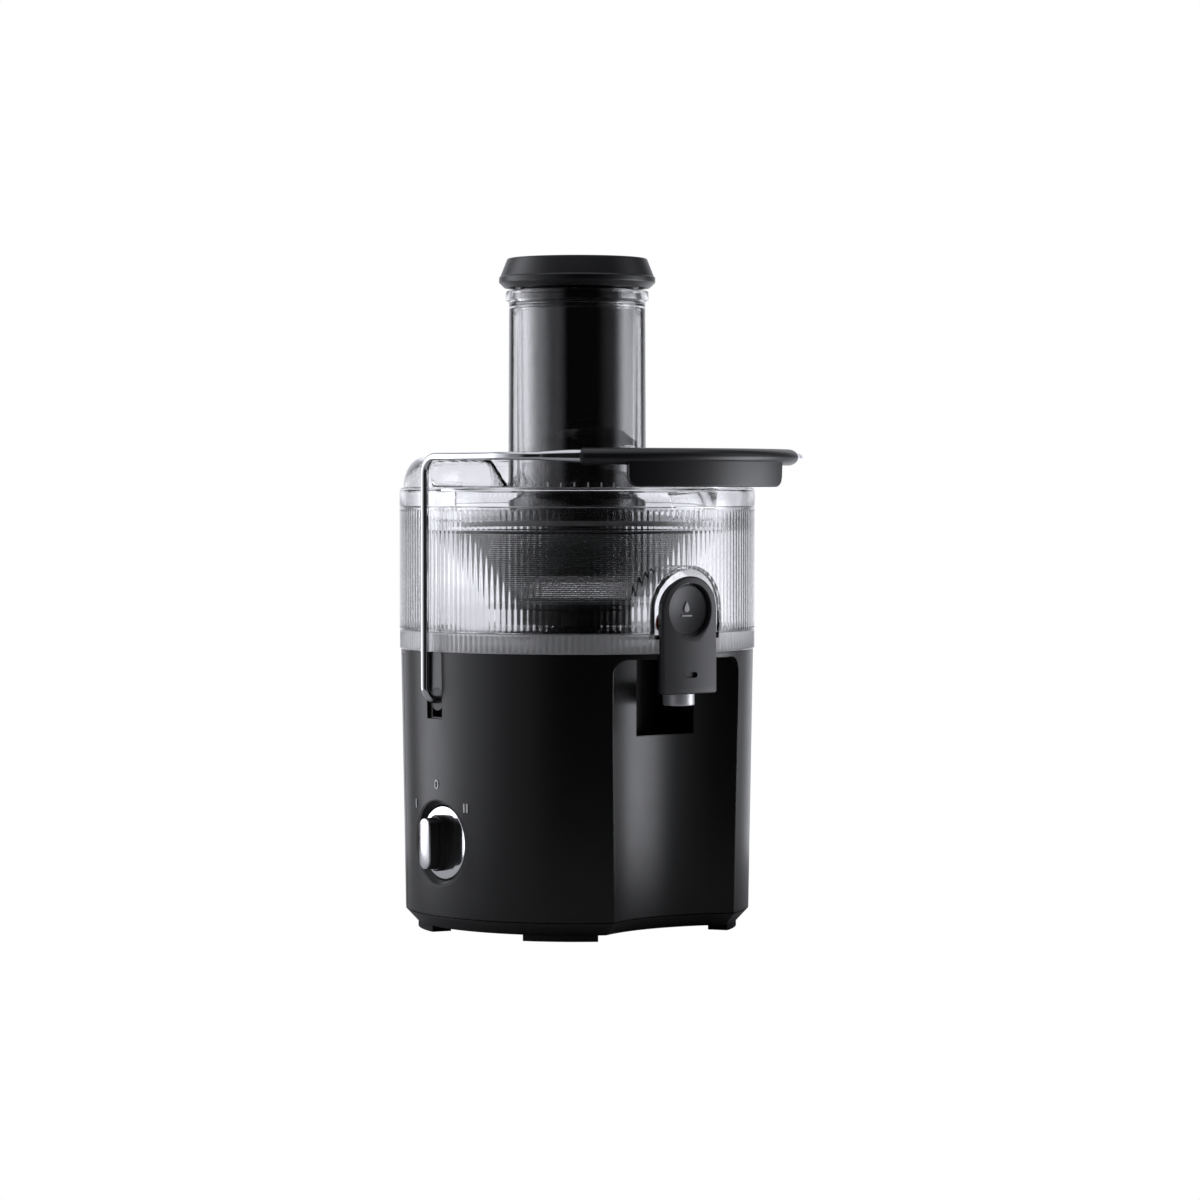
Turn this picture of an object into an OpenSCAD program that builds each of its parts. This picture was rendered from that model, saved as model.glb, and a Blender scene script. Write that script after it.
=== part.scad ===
// Centrifugal juicer: a round motor housing with a jug bay, a clear juice collector with
// its filter basket, a clear lid with feed chute and pusher, a chrome locking bail and a
// pulp bin that slides out of the back. Millimetres, origin on the spin axis at floor level.
// +Z is up, the spout faces -Y, the speed knob faces -X and the pulp bin leaves along +Y.

/* [Housing] */
// Radius of the housing at its top edge
body_r = 113.5; // [110:0.5:137]
// How much narrower the housing is at its foot
body_taper = 2.9; // [0:0.1:4]
// Height of the housing's top deck above the floor
deck_z = 179; // [176:1:216]
// Wall thickness of the housing and its deck
body_wall = 3; // [2.5:0.5:3.5]
// Height of the rubber feet
foot_h = 4; // [3:0.5:6]
// Height of the chamfered base plate
plate_h = 8; // [7:0.5:10]
// How far the chamfer of the base plate draws in
plate_chamfer = 7.5; // [4:0.5:9]

/* [Jug bay] */
// Radius of the hollow wall of the jug bay
bay_r = 100; // [90:1:120]
// How far the hollow wall lies behind the front of the housing
bay_depth = 26.5; // [20:0.5:30]
// Half the width of the jug bay
bay_half_w = 50.5; // [44:0.5:54]
// Radius of the upper corners of the jug bay
bay_corner_r = 9; // [5:0.5:12]

/* [Speed knob] */
// Height of the knob's axis
knob_z = 58.7; // [50:0.1:75]
// Diameter of the knob's bezel
bezel_d = 54; // [48:0.5:66]
// Diameter of the turning silver disc
knob_d = 46; // [38:0.5:47]
// Length of the bar that the fingers hold
knob_bar_l = 32.5; // [26:0.5:37]
// Thickness of the bar
knob_bar_t = 11; // [8:0.5:13]

/* [Bail] */
// Diameter of the bail wire
wire_d = 5; // [4:0.1:6]
// Gap between the bowl and the wire beside it
wire_gap = 2.5; // [2:0.1:5]
// Height of the bail's horizontal run above the deck
bail_h = 122.5; // [118:0.5:150]
// Outer radius of the grip
grip_r = 146; // [143:0.5:175]
// Width of the grip seen from above
grip_w = 14; // [10:0.5:16]

/* [Juice collector] */
// How far the bowl stands out past the housing
bowl_lip = 1; // [0.5:0.1:1.5]
// Height of the bowl above the deck
bowl_h = 91; // [86:1:109]
// Wall thickness of the clear parts
clear_wall = 2.2; // [1.8:0.1:2.6]
// Width of the spout cover
spout_w = 44; // [40:1:52]
// Diameter of the drip-stop button
button_d = 32; // [28:0.5:36]
// How far the drip-stop button travels
button_travel = 3.5; // [2:0.5:4]

/* [Filter basket] */
// Radius of the basket's rim
basket_r = 83; // [70:0.5:86]
// Height of the basket's cone
cone_h = 45; // [38:1:50]
// Radius of the grating disc
grating_r = 46; // [43:0.5:52]

/* [Lid and chute] */
// Bore radius of the feed chute
chute_r = 37.5; // [31:0.1:38.5]
// Height of the chute's rim above the deck
chute_top = 229.5; // [195:0.5:270]
// Height of the lid's smooth rim
lid_rim_h = 12.3; // [9:0.1:15]
// Height of the raised pulp dome on the lid
dome_h = 20; // [14:0.5:22]

/* [Pulp bin] */
// Distance from the spin axis to the front of the pulp bin
bin_y = 51; // [50:0.5:60]
// Wall thickness of the pulp bin
bin_wall = 2.4; // [2:0.1:3]

/* [Clearances] */
// Radial clearance of a pin or shaft that turns in its bore
turn_gap = 0.05; // [0.02:0.01:0.1]
// Clearance of a piece that slides or lifts out
slide_gap = 0.5; // [0.3:0.05:0.8]
// Clearance of a piece that is fixed in its seat
seat_gap = 0.05; // [0.02:0.01:0.1]

/* [Hidden] */

$fn = 96;
eps = 0.01;
far = 400;

// Housing
seam_z = foot_h + plate_h + 0.5;
deck_low = deck_z - body_wall;
bay_back = body_r - bay_depth;
bay_top = deck_z - body_wall - 0.5;
pocket_half_w = spout_w / 2 + 1;
pocket_floor = deck_z - 52;
duct_back_r = body_r - 18.5;
pocket_back = duct_back_r - 33;
rear_wall_y = bin_y - 1;
shaft_hole_r = 9;
hub_ring_r = 30;
hub_ring_h = 6;

// Feet: arc pads at these angles from the front, to both sides
foot_angles = [44, 115];
foot_span = 26.6;
foot_w = 13;
foot_r = body_r - body_taper - plate_chamfer - 0.5;
screw_r = 3.4;

// Knob, whose axis points along -X
bezel_face_x = -body_r + 6.5;
disc_t = 4;
bar_out = 15;
face_t = 1.4;
knob_shaft_r = 3;
mark_r = 37;
mark_h = 0.4;

// Bail
bail_y = 1.5;
pivot_z = deck_z - 30;
bowl_r = body_r + bowl_lip;
arm_x = bowl_r + wire_gap + wire_d / 2;
bail_z = deck_z + bail_h;
top_elbow_r = 11;
low_elbow_r = 9;
channel_w = 16;
channel_depth = 3;
bush_r = 6.9;
bush_l = 6;
channel_x = body_r - channel_depth;
grip_mid_r = grip_r - grip_w / 2;
grip_angle = 36.5;
skirt_angle = 25;
grip_low = -4.5;
grip_high = 5;
skirt_drop = 19;
ferrule_l = 26;
// Plan of the wire: straight out of the grip's end, then a turn straight back along the side
grip_end = [grip_mid_r * sin(grip_angle), -grip_mid_r * cos(grip_angle)];
run_l = (arm_x - grip_end[0]) / cos(grip_angle);
corner_y = grip_end[1] + run_l * sin(grip_angle);

// Motor
shaft_r = 4;
bearing_r = 11;
bearing_h = 7;
stator_r = 42;
stator_z = 62;
stator_h = 46;
armature_r = 22;
top_bracket_z = 131;
bottom_bracket_z = 30;
bracket_t = 3;
mount_ring_r = 46;
bolt_x = 45.5;
shaft_top = deck_z + 20;
coupling_z = deck_z + 7;
coupling_h = 18;
coupling_r = 11;
lug_r = 15;
lug_w = 6;

// Collector
bowl_in = bowl_r - clear_wall;
bowl_top = deck_z + bowl_h;
floor_z = deck_z + 9;
floor_t = 2;
collar_r = hub_ring_r + 3;
collar_h = 21;
alcove_half_w = spout_w / 2 + 8;
alcove_r = duct_back_r - 1;
alcove_top = deck_z + 56;
cover_r = bowl_r + 1.5;
cover_top = deck_z + 48;
cover_low = deck_z - 25.5;
cover_t = 2.8;
duct_half_w = spout_w / 2 - 3;
duct_top = deck_z + 46;
duct_wall = 2;
button_z = deck_z + 27;
valve_z = floor_z + 9.5;
valve_hole_r = 6;
stem_r = 2.5;
button_face_y = -(cover_r - 4);
button_t = 5;
nozzle_y = -(body_r - 10.5);
nozzle_r = 10;
nozzle_in = 7.5;
pulp_in = basket_r + 6;
pulp_out = bowl_in - 1;
// The pulp shaft spans these angles from the front, around the left side to the back
pulp_from = 126;
pulp_to = 190;
pulp_top = bowl_top - 15.5;

// Basket
hub_z = deck_z + 25;
hub_t = 4;
hub_r = grating_r + 2;
cone_low = hub_z + hub_t;
cone_top = cone_low + cone_h;
cone_t = 0.9;
rim_h = 5;

// Lid
lid_low = bowl_top + 0.2;
lid_top = lid_low + lid_rim_h;
lid_skirt = 15;
outer_tube_r = chute_r + 7;
chute_end = hub_z + 18;
chute_rim = deck_z + chute_top;
rim_bead = 6;
inner_top = chute_rim - 8.8;
dome_in = outer_tube_r + 9;
dome_front_y = 2;
dome_run = 1.1;
ledge_r = basket_r + 5;

// Pusher
pusher_r = chute_r - 0.7;
flange_r = chute_r + 1.2;
flange_h = 5;
pusher_wall = 2.5;
cap_low = chute_rim + 2;
cap_h = 19;
cap_r = chute_r + 12.8;
cap_top_r = chute_r + 8;

// Bin
bin_low = seam_z + 0.5;
bin_high = deck_low - 0.6;
scoop_w = 84;
scoop_h = 26;
scoop_z = deck_z - 50;
scoop_depth = 16;

function body_radius(z) = body_r - body_taper * (deck_z - z) / (deck_z - seam_z);

// A ring or tube standing on z
module ring(z, h, r_out, r_in) {
    translate([0, 0, z]) difference() {
        cylinder(h = h, r = r_out);
        translate([0, 0, -1]) cylinder(h = h + 2, r = r_in);
    }
}

// A sector of a round profile, from one angle to another measured from the front (-Y)
// towards the left side (-X)
module sector(a_from, a_to) {
    rotate([0, 0, -90 - a_to]) rotate_extrude(angle = a_to - a_from) children();
}

// A rectangle in the half plane that rotate_extrude turns
module band(r_in, r_out, z_low, z_high) {
    translate([r_in, z_low]) square([r_out - r_in, z_high - z_low]);
}

// An upright outline with a flat foot and rounded top corners
module round_top(half_w, z_low, z_high, r) {
    translate([-half_w, z_low]) square([2 * half_w, z_high - r - z_low]);
    translate([-half_w + r, z_low]) square([2 * (half_w - r), z_high - z_low]);
    for (side = [-1, 1]) translate([side * (half_w - r), z_high - r]) circle(r = r);
}

// The outline above, pushed through everything in front of the spin axis
module forward(y_near) {
    translate([0, y_near, 0]) rotate([90, 0, 0]) linear_extrude(far) children();
}

// A stadium lying along the second axis
module stadium(length, width) {
    square([width, length - width], center = true);
    for (end = [-1, 1]) translate([0, end * (length - width) / 2]) circle(d = width);
}

// Turns its child so that its local +Z points along -X, with local +Y up
module face_left() {
    rotate([90, 0, -90]) children();
}

module body_solid(inset, z_low, z_high) {
    translate([0, 0, z_low])
        cylinder(h = z_high - z_low, r1 = body_radius(z_low) - inset, r2 = body_radius(z_high) - inset);
}

// The jug bay: a standing cylinder in front of the housing, with rounded upper corners
module jug_bay(grow) {
    intersection() {
        translate([0, -bay_back - bay_r, -1]) cylinder(h = bay_top + grow + 1, r = bay_r + grow);
        forward(0) round_top(bay_half_w + grow, -1, bay_top + grow, bay_corner_r);
    }
}

// The pocket that the spout hangs in, open to the bay and through the deck
module spout_pocket(grow) {
    translate([-pocket_half_w - grow, -far, pocket_floor - grow])
        cube([2 * (pocket_half_w + grow), far - pocket_back + grow, deck_z - pocket_floor + grow + 1]);
}

module mount_places() {
    for (a = [45:90:315]) rotate([0, 0, a]) translate([mount_ring_r, 0, 0]) children();
}

module screw_places() {
    for (a = [-142, -38, 12, 168]) rotate([0, 0, a]) translate([foot_r - 28, 0, 0]) children();
}

module housing() color("#1b1b1d") {
    difference() {
        body_solid(0, seam_z, deck_z);
        difference() {
            body_solid(body_wall, seam_z - 1, deck_low);
            jug_bay(body_wall);
            spout_pocket(body_wall);
            translate([-far, rear_wall_y - body_wall, 0]) cube([2 * far, far, far]);
            for (side = [-1, 1]) translate([side * (body_r - 6), bail_y, pivot_z + 5])
                cube([12, channel_w + 8, 50], center = true);
        }
        jug_bay(0);
        spout_pocket(0);
        translate([-far, rear_wall_y, 0]) cube([2 * far, far, deck_low]);
        translate([0, 0, deck_low - 1]) cylinder(h = body_wall + 2, r = shaft_hole_r);
        sector(pulp_from, pulp_to) band(pulp_in, pulp_out, deck_low - 1, deck_z + 1);
        for (side = [-1, 1]) scale([side, 1, 1]) {
            translate([channel_x, bail_y - channel_w / 2, pivot_z - 12])
                cube([far, channel_w, far]);
            translate([channel_x - bush_l - 1, bail_y, pivot_z]) rotate([0, 90, 0])
                cylinder(h = far, r = bush_r + seat_gap);
            translate([channel_x - bush_l - 1, bail_y - 5, pivot_z - 11]) cube([far, 10, 11]);
        }
        translate([-far, 0, knob_z]) rotate([0, 90, 0])
            cylinder(h = far + bezel_face_x + 16, r = bezel_d / 2 + seat_gap);
        translate([body_r - 20, 30, 30]) rotate([0, 90, 0]) cylinder(h = 40, r = 7 + seat_gap);
    }
    ring(deck_z, hub_ring_h, hub_ring_r, hub_ring_r - 8);
    mount_places() translate([0, 0, top_bracket_z + bracket_t + 8])
        cylinder(h = deck_z - top_bracket_z - bracket_t - 9, r = 5);
}

module base_plate() color("#161617") difference() {
    translate([0, 0, foot_h])
        cylinder(h = plate_h, r1 = body_r - body_taper - plate_chamfer, r2 = body_r - body_taper);
    translate([0, -bay_back - bay_r, foot_h - eps])
        cylinder(h = plate_h + 2 * eps, r1 = bay_r + plate_chamfer, r2 = bay_r);
    difference() {
        translate([0, 0, foot_h + 3]) cylinder(h = plate_h, r = body_r - body_taper - plate_chamfer - 6);
        translate([0, -bay_back - bay_r, 0]) cylinder(h = far, r = bay_r + plate_chamfer + 4);
        translate([-far, rear_wall_y - body_wall - 1, 0]) cube([2 * far, far, far]);
        screw_places() cylinder(h = far, r = 7);
    }
    screw_places() {
        cylinder(h = far, r = 2);
        cylinder(h = foot_h + 3, r = screw_r + 0.2);
    }
}

module feet() color("#262626")
    for (side = [-1, 1], a = foot_angles)
        sector(side * a - foot_span / 2, side * a + foot_span / 2) band(foot_r - foot_w, foot_r, 0, foot_h);

module base_screws() color("silver")
    screw_places() {
        difference() {
            translate([0, 0, foot_h + 0.6]) cylinder(h = 2.3, r = screw_r);
            translate([-2.2, -0.5, foot_h]) cube([4.4, 1, 1.6]);
            translate([-0.5, -2.2, foot_h]) cube([1, 4.4, 1.6]);
        }
        translate([0, 0, foot_h + 2.9]) cylinder(h = plate_h - 2.8, r = 1.9);
    }

module knob_bezel() color("#101010") difference() {
    intersection() {
        translate([bezel_face_x + 12, 0, knob_z]) face_left() cylinder(h = 40, r = bezel_d / 2);
        body_solid(0.2, seam_z, deck_z);
    }
    translate([bezel_face_x + 4, 0, knob_z]) face_left() cylinder(h = 40, r = knob_d / 2 + 0.4);
    translate([bezel_face_x + 1.2, 0, knob_z]) face_left()
        cylinder(h = 8, r1 = knob_d / 2 + 0.4, r2 = bezel_d / 2 + 1);
    translate([bezel_face_x + 20, 0, knob_z]) face_left() cylinder(h = 40, r = knob_shaft_r + 0.4);
}

// Generic dial marks: a ring for off, one bar and two bars for the two speeds
module mark_outline(kind) {
    if (kind == 0) difference() {
        stadium(6, 4);
        stadium(4.2, 2.2);
    }
    if (kind == 1) square([1.1, 5.6], center = true);
    if (kind == 2) for (side = [-1, 1]) translate([side * 1.2, 0]) square([1.1, 5.6], center = true);
}

module dial_marks() color("#d8d8d8")
    for (kind = [0:2]) let (turn = [0, 45, -45][kind]) intersection() {
        translate([0, 0, knob_z]) face_left() linear_extrude(far)
            translate([-mark_r * sin(turn), mark_r * cos(turn) - 4 * abs(sin(turn))]) mark_outline(kind);
        difference() {
            body_solid(-mark_h, seam_z, deck_z);
            body_solid(0, seam_z - 1, deck_z + 1);
        }
    }

module rotary_switch() color("#3a3a3c") difference() {
    translate([bezel_face_x + 13, -14, knob_z - 14]) cube([18, 28, 28]);
    translate([bezel_face_x + 28, 0, knob_z]) face_left() cylinder(h = 40, r = knob_shaft_r + turn_gap);
}

module pivot_bush(side) color("#0d0d0d")
    translate([side * (channel_x - bush_l / 2), bail_y, pivot_z]) rotate([0, 90, 0]) difference() {
        cylinder(h = bush_l, r = bush_r, center = true);
        cylinder(h = bush_l + 2, r = wire_d / 2 + turn_gap, center = true);
    }

module pivot_bush_left() pivot_bush(-1);
module pivot_bush_right() pivot_bush(1);

module interlock_switch() color("#303030") {
    translate([-body_r + 12.6, bail_y - 10, pivot_z - 6]) cube([8, 20, 12]);
    translate([-body_r + 14, bail_y - 3, pivot_z + 6]) cube([5, 6, 2]);
}

module motor_stator() color("#7b7d80") difference() {
    translate([0, 0, stator_z]) cylinder(h = stator_h, r = stator_r);
    translate([0, 0, stator_z - 1]) cylinder(h = stator_h + 2, r = armature_r + 0.6);
    for (a = [45:90:315]) rotate([0, 0, a]) translate([armature_r + 6, -4, stator_z - 1])
        cube([9, 8, stator_h + 2]);
}

module motor_windings() color("#b4622c") {
    for (z = [stator_z - 10, stator_z + stator_h]) ring(z, 10, stator_r - 4, armature_r + 3);
    for (a = [45:90:315]) rotate([0, 0, a]) translate([armature_r + 6.5, -3.5, stator_z])
        cube([8, 7, stator_h]);
}

// A motor end bracket: a disc with a bearing seat and ears for the two long bolts
module bracket(seat_h, r) {
    difference() {
        union() {
            cylinder(h = bracket_t, r = r);
            cylinder(h = bracket_t + seat_h, r = bearing_r + 3);
            for (side = [-1, 1]) translate([side * bolt_x, 0, 0]) cylinder(h = bracket_t, r = 5);
            children();
        }
        translate([0, 0, -1]) cylinder(h = far, r = bearing_r + seat_gap);
        for (side = [-1, 1]) translate([side * bolt_x, 0, -1]) cylinder(h = far, r = 2 + seat_gap);
        for (a = [0:45:315]) rotate([0, 0, a + 22.5]) translate([27, 0, -1]) cylinder(h = 9, r = 5);
    }
}

module motor_top_bracket() color("#9a9da1")
    translate([0, 0, top_bracket_z]) bracket(6, 40) mount_places() cylinder(h = bracket_t, r = 7.5);

module motor_bottom_bracket() color("#9a9da1")
    translate([0, 0, bottom_bracket_z]) bracket(6, 42);

module motor_bolts() color("silver")
    for (side = [-1, 1]) translate([side * bolt_x, 0, bottom_bracket_z - 3]) {
        cylinder(h = 2.9, r = 3.5);
        cylinder(h = top_bracket_z - bottom_bracket_z + 10, r = 2);
    }

module motor_mounts() color("#202020")
    mount_places() translate([0, 0, top_bracket_z + bracket_t]) cylinder(h = 8, r = 7);

module bearing(z) {
    ring(z, bearing_h, bearing_r, shaft_r + turn_gap);
}

module top_bearing() color("#c8ccd0") bearing(top_bracket_z + 1);
module bottom_bearing() color("#c8ccd0") bearing(bottom_bracket_z + 1);

module carbon_brushes() color("#2b2b2b")
    for (side = [-1, 1]) translate([side * 19, 0, 48.8]) cube([13, 7, 6], center = true);

module control_board() color("#1f5a34") {
    translate([84, -34, 28]) cube([1.6, 56, 62]);
    translate([78, -28, 66]) cube([6, 20, 16]);
    translate([84, 4, 44]) rotate([0, -90, 0]) cylinder(h = 14, r = 6);
    translate([84, 4, 64]) rotate([0, -90, 0]) cylinder(h = 10, r = 5);
    translate([76, -24, 36]) cube([8, 12, 20]);
}

module shaft_seal() color("#8a1f1f") ring(deck_z, 4, 16, shaft_r + turn_gap);

module cord_gland() color("#121212") translate([body_r - 8, 30, 30]) rotate([0, 90, 0]) difference() {
    union() {
        translate([0, 0, -7]) cylinder(h = 17, r = 7);
        translate([0, 0, -9]) cylinder(h = 2.5, r = 9);
    }
    translate([0, 0, -10]) cylinder(h = 40, r = 3.6);
}

module knob_disc() color("#c9cbcd") translate([bezel_face_x + disc_t, 0, knob_z]) face_left() difference() {
    cylinder(h = disc_t, r = knob_d / 2);
    translate([0, 0, -1]) cylinder(h = 2, r = knob_shaft_r + seat_gap);
}

module knob_bar() color("#0e0e0f") translate([bezel_face_x, 0, knob_z]) face_left() {
    linear_extrude(bar_out - face_t) stadium(knob_bar_l, knob_bar_t);
    linear_extrude(bar_out * 0.45) stadium(knob_bar_l + 3, knob_bar_t + 1.6);
}

module knob_face() color("#d5d7d9") translate([bezel_face_x - bar_out + face_t, 0, knob_z]) face_left()
    linear_extrude(face_t) stadium(knob_bar_l - 0.6, knob_bar_t - 0.6);

module knob_shaft() color("silver") translate([bezel_face_x + 26, 0, knob_z]) face_left()
    cylinder(h = 26 - disc_t + 1, r = knob_shaft_r);

// One side of the bail wire, on the +X side
module wire_side() {
    // pin in the bush
    translate([channel_x - bush_l + 1, bail_y, pivot_z]) rotate([0, 90, 0])
        cylinder(h = arm_x - low_elbow_r - channel_x + bush_l - 1, d = wire_d);
    // bend up into the arm
    translate([arm_x - low_elbow_r, bail_y, pivot_z + low_elbow_r]) rotate([90, 0, 0])
        rotate([0, 0, -90]) rotate_extrude(angle = 90) translate([low_elbow_r, 0]) circle(d = wire_d);
    // upright arm
    translate([arm_x, bail_y, pivot_z + low_elbow_r])
        cylinder(h = bail_z - top_elbow_r - pivot_z - low_elbow_r, d = wire_d);
    // bend forward
    translate([arm_x, bail_y - top_elbow_r, bail_z - top_elbow_r]) rotate([90, 0, 90])
        rotate_extrude(angle = 90) translate([top_elbow_r, 0]) circle(d = wire_d);
    // run along the side to the corner
    translate([arm_x, bail_y - top_elbow_r, bail_z]) rotate([90, 0, 0])
        cylinder(h = bail_y - top_elbow_r - corner_y, d = wire_d);
    translate([arm_x, corner_y, bail_z]) sphere(d = wire_d + 1.2);
    // straight run into the grip's end
    translate([grip_end[0], grip_end[1], bail_z]) rotate([0, 0, grip_angle]) rotate([0, 90, 0])
        cylinder(h = run_l, d = wire_d);
}

module bail_wire() color("#c4c7ca") for (side = [-1, 1]) scale([side, 1, 1]) wire_side();

module bail_ferrules() color("#b9bcbf") for (side = [-1, 1]) scale([side, 1, 1])
    translate([grip_end[0], grip_end[1], bail_z]) rotate([0, 0, grip_angle]) rotate([0, 90, 0]) difference() {
        cylinder(h = ferrule_l, r1 = wire_d / 2 + 1.5, r2 = wire_d / 2 + 0.15);
        translate([0, 0, -1]) cylinder(h = ferrule_l + 2, d = wire_d + 2 * seat_gap);
    }

module bail_grip() color("#29292b") {
    sector(-grip_angle, grip_angle) translate([grip_mid_r, bail_z]) {
        translate([-grip_w / 2, grip_low + 2]) square([grip_w, grip_high - grip_low - 4]);
        translate([-grip_w / 2 + 2, grip_low]) square([grip_w - 4, grip_high - grip_low]);
        for (x = [-1, 1], z = [grip_low + 2, grip_high - 2]) translate([x * (grip_w / 2 - 2), z]) circle(r = 2);
    }
    sector(-skirt_angle, skirt_angle)
        band(grip_mid_r - 1, grip_r - 0.4, bail_z - skirt_drop, bail_z + grip_low + 2.5);
}

module motor_shaft() color("#d0d3d6") translate([0, 0, bottom_bracket_z - 4])
    cylinder(h = shaft_top - bottom_bracket_z + 4, r = shaft_r);

module armature() color("#8c6a45") {
    ring(stator_z, stator_h, armature_r, shaft_r + seat_gap);
    for (z = [stator_z - 5, stator_z + stator_h]) ring(z, 5, armature_r - 4, shaft_r + seat_gap);
}

module commutator() color("#c27a3a") ring(42, 14, 12, shaft_r + seat_gap);

module cooling_fan() color("#2f3133") {
    ring(119.5, 9, 9, shaft_r + seat_gap);
    ring(119.5, 1.5, 31, 8.5);
    for (a = [0:36:324]) rotate([0, 0, a]) translate([8.5, -0.8, 120]) cube([22, 1.6, 8]);
}

module drive_coupling() color("#1a1a1a") difference() {
    union() {
        translate([0, 0, coupling_z]) cylinder(h = coupling_h, r = coupling_r);
        for (a = [0:120:240]) rotate([0, 0, a]) translate([coupling_r - 2, -lug_w / 2, coupling_z])
            cube([lug_r - coupling_r + 2, lug_w, coupling_h]);
    }
    translate([0, 0, coupling_z - 1]) cylinder(h = shaft_top - coupling_z + 1, r = shaft_r + seat_gap);
}

// The arch that the spout stands in, seen from the front
module arch(half_w, z_low, z_high) {
    round_top(half_w, z_low, z_high, half_w - eps);
}

module juice_collector() color("#cfd6da", 0.4) difference() {
    union() {
        ring(deck_z, bowl_h, bowl_r, bowl_in);
        ring(deck_z, 7, bowl_r, bowl_in - 1.5);
        ring(floor_z, floor_t, bowl_in + 0.5, collar_r);
        ring(floor_z - 6, collar_h - 3, collar_r + 2.5, collar_r);
        // back and rim of the spout alcove
        intersection() {
            ring(floor_z, alcove_top + 4 - floor_z, bowl_r - 0.2, alcove_r - clear_wall);
            forward(0) arch(alcove_half_w + clear_wall, floor_z, alcove_top + clear_wall);
        }
        // walls of the pulp shaft
        difference() {
            sector(pulp_from - 1.3, pulp_to + 1.3)
                band(pulp_in - clear_wall, bowl_in + 0.5, deck_z, pulp_top);
            sector(pulp_from, pulp_to) band(pulp_in, bowl_in, deck_z - 1, pulp_top + 1);
        }
    }
    intersection() {
        ring(floor_z + floor_t, alcove_top + 4 - floor_z, bowl_r + 5, alcove_r);
        forward(0) arch(alcove_half_w, floor_z + floor_t, alcove_top);
    }
    // passage for the spout through the foot of the bowl
    translate([-pocket_half_w + 0.5, -far, deck_z - 1])
        cube([2 * pocket_half_w - 1, far - alcove_r + 4, floor_z + floor_t - deck_z + 2]);
    translate([0, 0, valve_z]) rotate([90, 0, 0]) cylinder(h = far, r = valve_hole_r);
    sector(pulp_from, pulp_to) band(pulp_in, bowl_in, deck_z - 1, floor_z + floor_t + 1);
}

module spout_cover() color("#3b3c3f") difference() {
    union() {
        intersection() {
            ring(cover_low, far, cover_r, cover_r - cover_t);
            forward(0) arch(spout_w / 2, cover_low, cover_top);
        }
        intersection() {
            ring(cover_low, far, cover_r - cover_t + 0.5, duct_back_r);
            forward(0) arch(duct_half_w, cover_low, duct_top);
        }
    }
    intersection() {
        ring(cover_low + 4, far, cover_r - cover_t, duct_back_r + duct_wall);
        forward(0) arch(duct_half_w - duct_wall, cover_low + 4, duct_top - duct_wall);
    }
    translate([0, 0, button_z]) rotate([90, 0, 0]) cylinder(h = far, r = button_d / 2 + 0.3);
    translate([0, 0, valve_z]) rotate([90, 0, 0]) cylinder(h = cover_r - 8, r = valve_hole_r);
    translate([0, nozzle_y, cover_low - 1]) cylinder(h = 8, r = nozzle_r + seat_gap);
    translate([-4.7, -far, cover_low + 10.2]) cube([9.4, far - cover_r + 1.4, 3.7]);
}

module spout_nozzle() color("#c6c8ca") translate([0, nozzle_y, 0])
    ring(cover_low - 7.5, 13, nozzle_r, nozzle_in);

module drip_button() color("#343538") translate([0, button_face_y, button_z]) rotate([-90, 0, 0]) difference() {
    cylinder(h = button_t, r = button_d / 2);
    translate([0, 0, -60]) sphere(r = 61.3);
    translate([0, button_z - valve_z, 2.5]) cylinder(h = 10, r = stem_r + seat_gap);
}

module drop_mark() color("#e8e8e8") translate([0, button_face_y, button_z]) rotate([-90, 0, 0]) intersection() {
    translate([0, 0, 0.7]) linear_extrude(1) {
        translate([0, -0.5]) circle(r = 2);
        polygon([[-1.85, -1.2], [1.85, -1.2], [0, -5.4]]);
        translate([-4, 3.3]) square([8, 0.9]);
    }
    translate([0, 0, -60]) sphere(r = 61.28);
}

module valve_stem() color("#d9d9d9") translate([0, button_face_y + 2.5, valve_z]) rotate([-90, 0, 0])
    cylinder(h = -button_face_y - 2.5 - alcove_r + clear_wall + 1.9, r = stem_r);

module valve_seal() color("#b0463c") translate([0, -alcove_r + clear_wall + 0.7, valve_z]) rotate([-90, 0, 0])
    difference() {
        cylinder(h = 2.5, r = valve_hole_r + 1.5);
        translate([0, 0, -1]) cylinder(h = 2.2, r = stem_r + seat_gap);
    }

module button_spring() color("#c0c0c0")
    translate([0, button_face_y + button_t, valve_z]) rotate([-90, 0, 0])
        for (turn = [0:3]) translate([0, 0, 0.6 + turn * 2.6]) rotate_extrude()
            translate([stem_r + 1.3, 0]) circle(r = 0.5, $fn = 24);

module basket_hub() color("#26272a") difference() {
    union() {
        translate([0, 0, hub_z]) cylinder(h = hub_t, r = hub_r);
        translate([0, 0, coupling_z + 1]) cylinder(h = hub_z - coupling_z, r = 22);
        ring(hub_z - 10, 10.5, collar_r + 7.5, collar_r + 5);
    }
    translate([0, 0, coupling_z]) cylinder(h = coupling_h + 0.5, r = coupling_r + 0.3);
    for (a = [0:120:240]) rotate([0, 0, a]) translate([0, -lug_w / 2 - 0.35, coupling_z])
        cube([lug_r + 0.4, lug_w + 0.7, coupling_h + 0.5]);
}

module grating_disc() color("#a9adb1") {
    translate([0, 0, cone_low]) cylinder(h = 1.2, r = grating_r);
    for (row = [0:3], k = [0:5 + 4 * row]) rotate([0, 0, k * 360 / (6 + 4 * row) + row * 11])
        translate([9 + row * 9.5, -0.3, cone_low + 1]) rotate([0, 0, 35]) cube([3.6, 0.6, 1.5]);
}

module filter_cone() color("#8f9396") rotate_extrude() polygon([
    [hub_r - cone_t, cone_low], [hub_r, cone_low],
    [basket_r - 3, cone_top], [basket_r - 3 - cone_t, cone_top]
]);

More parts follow.
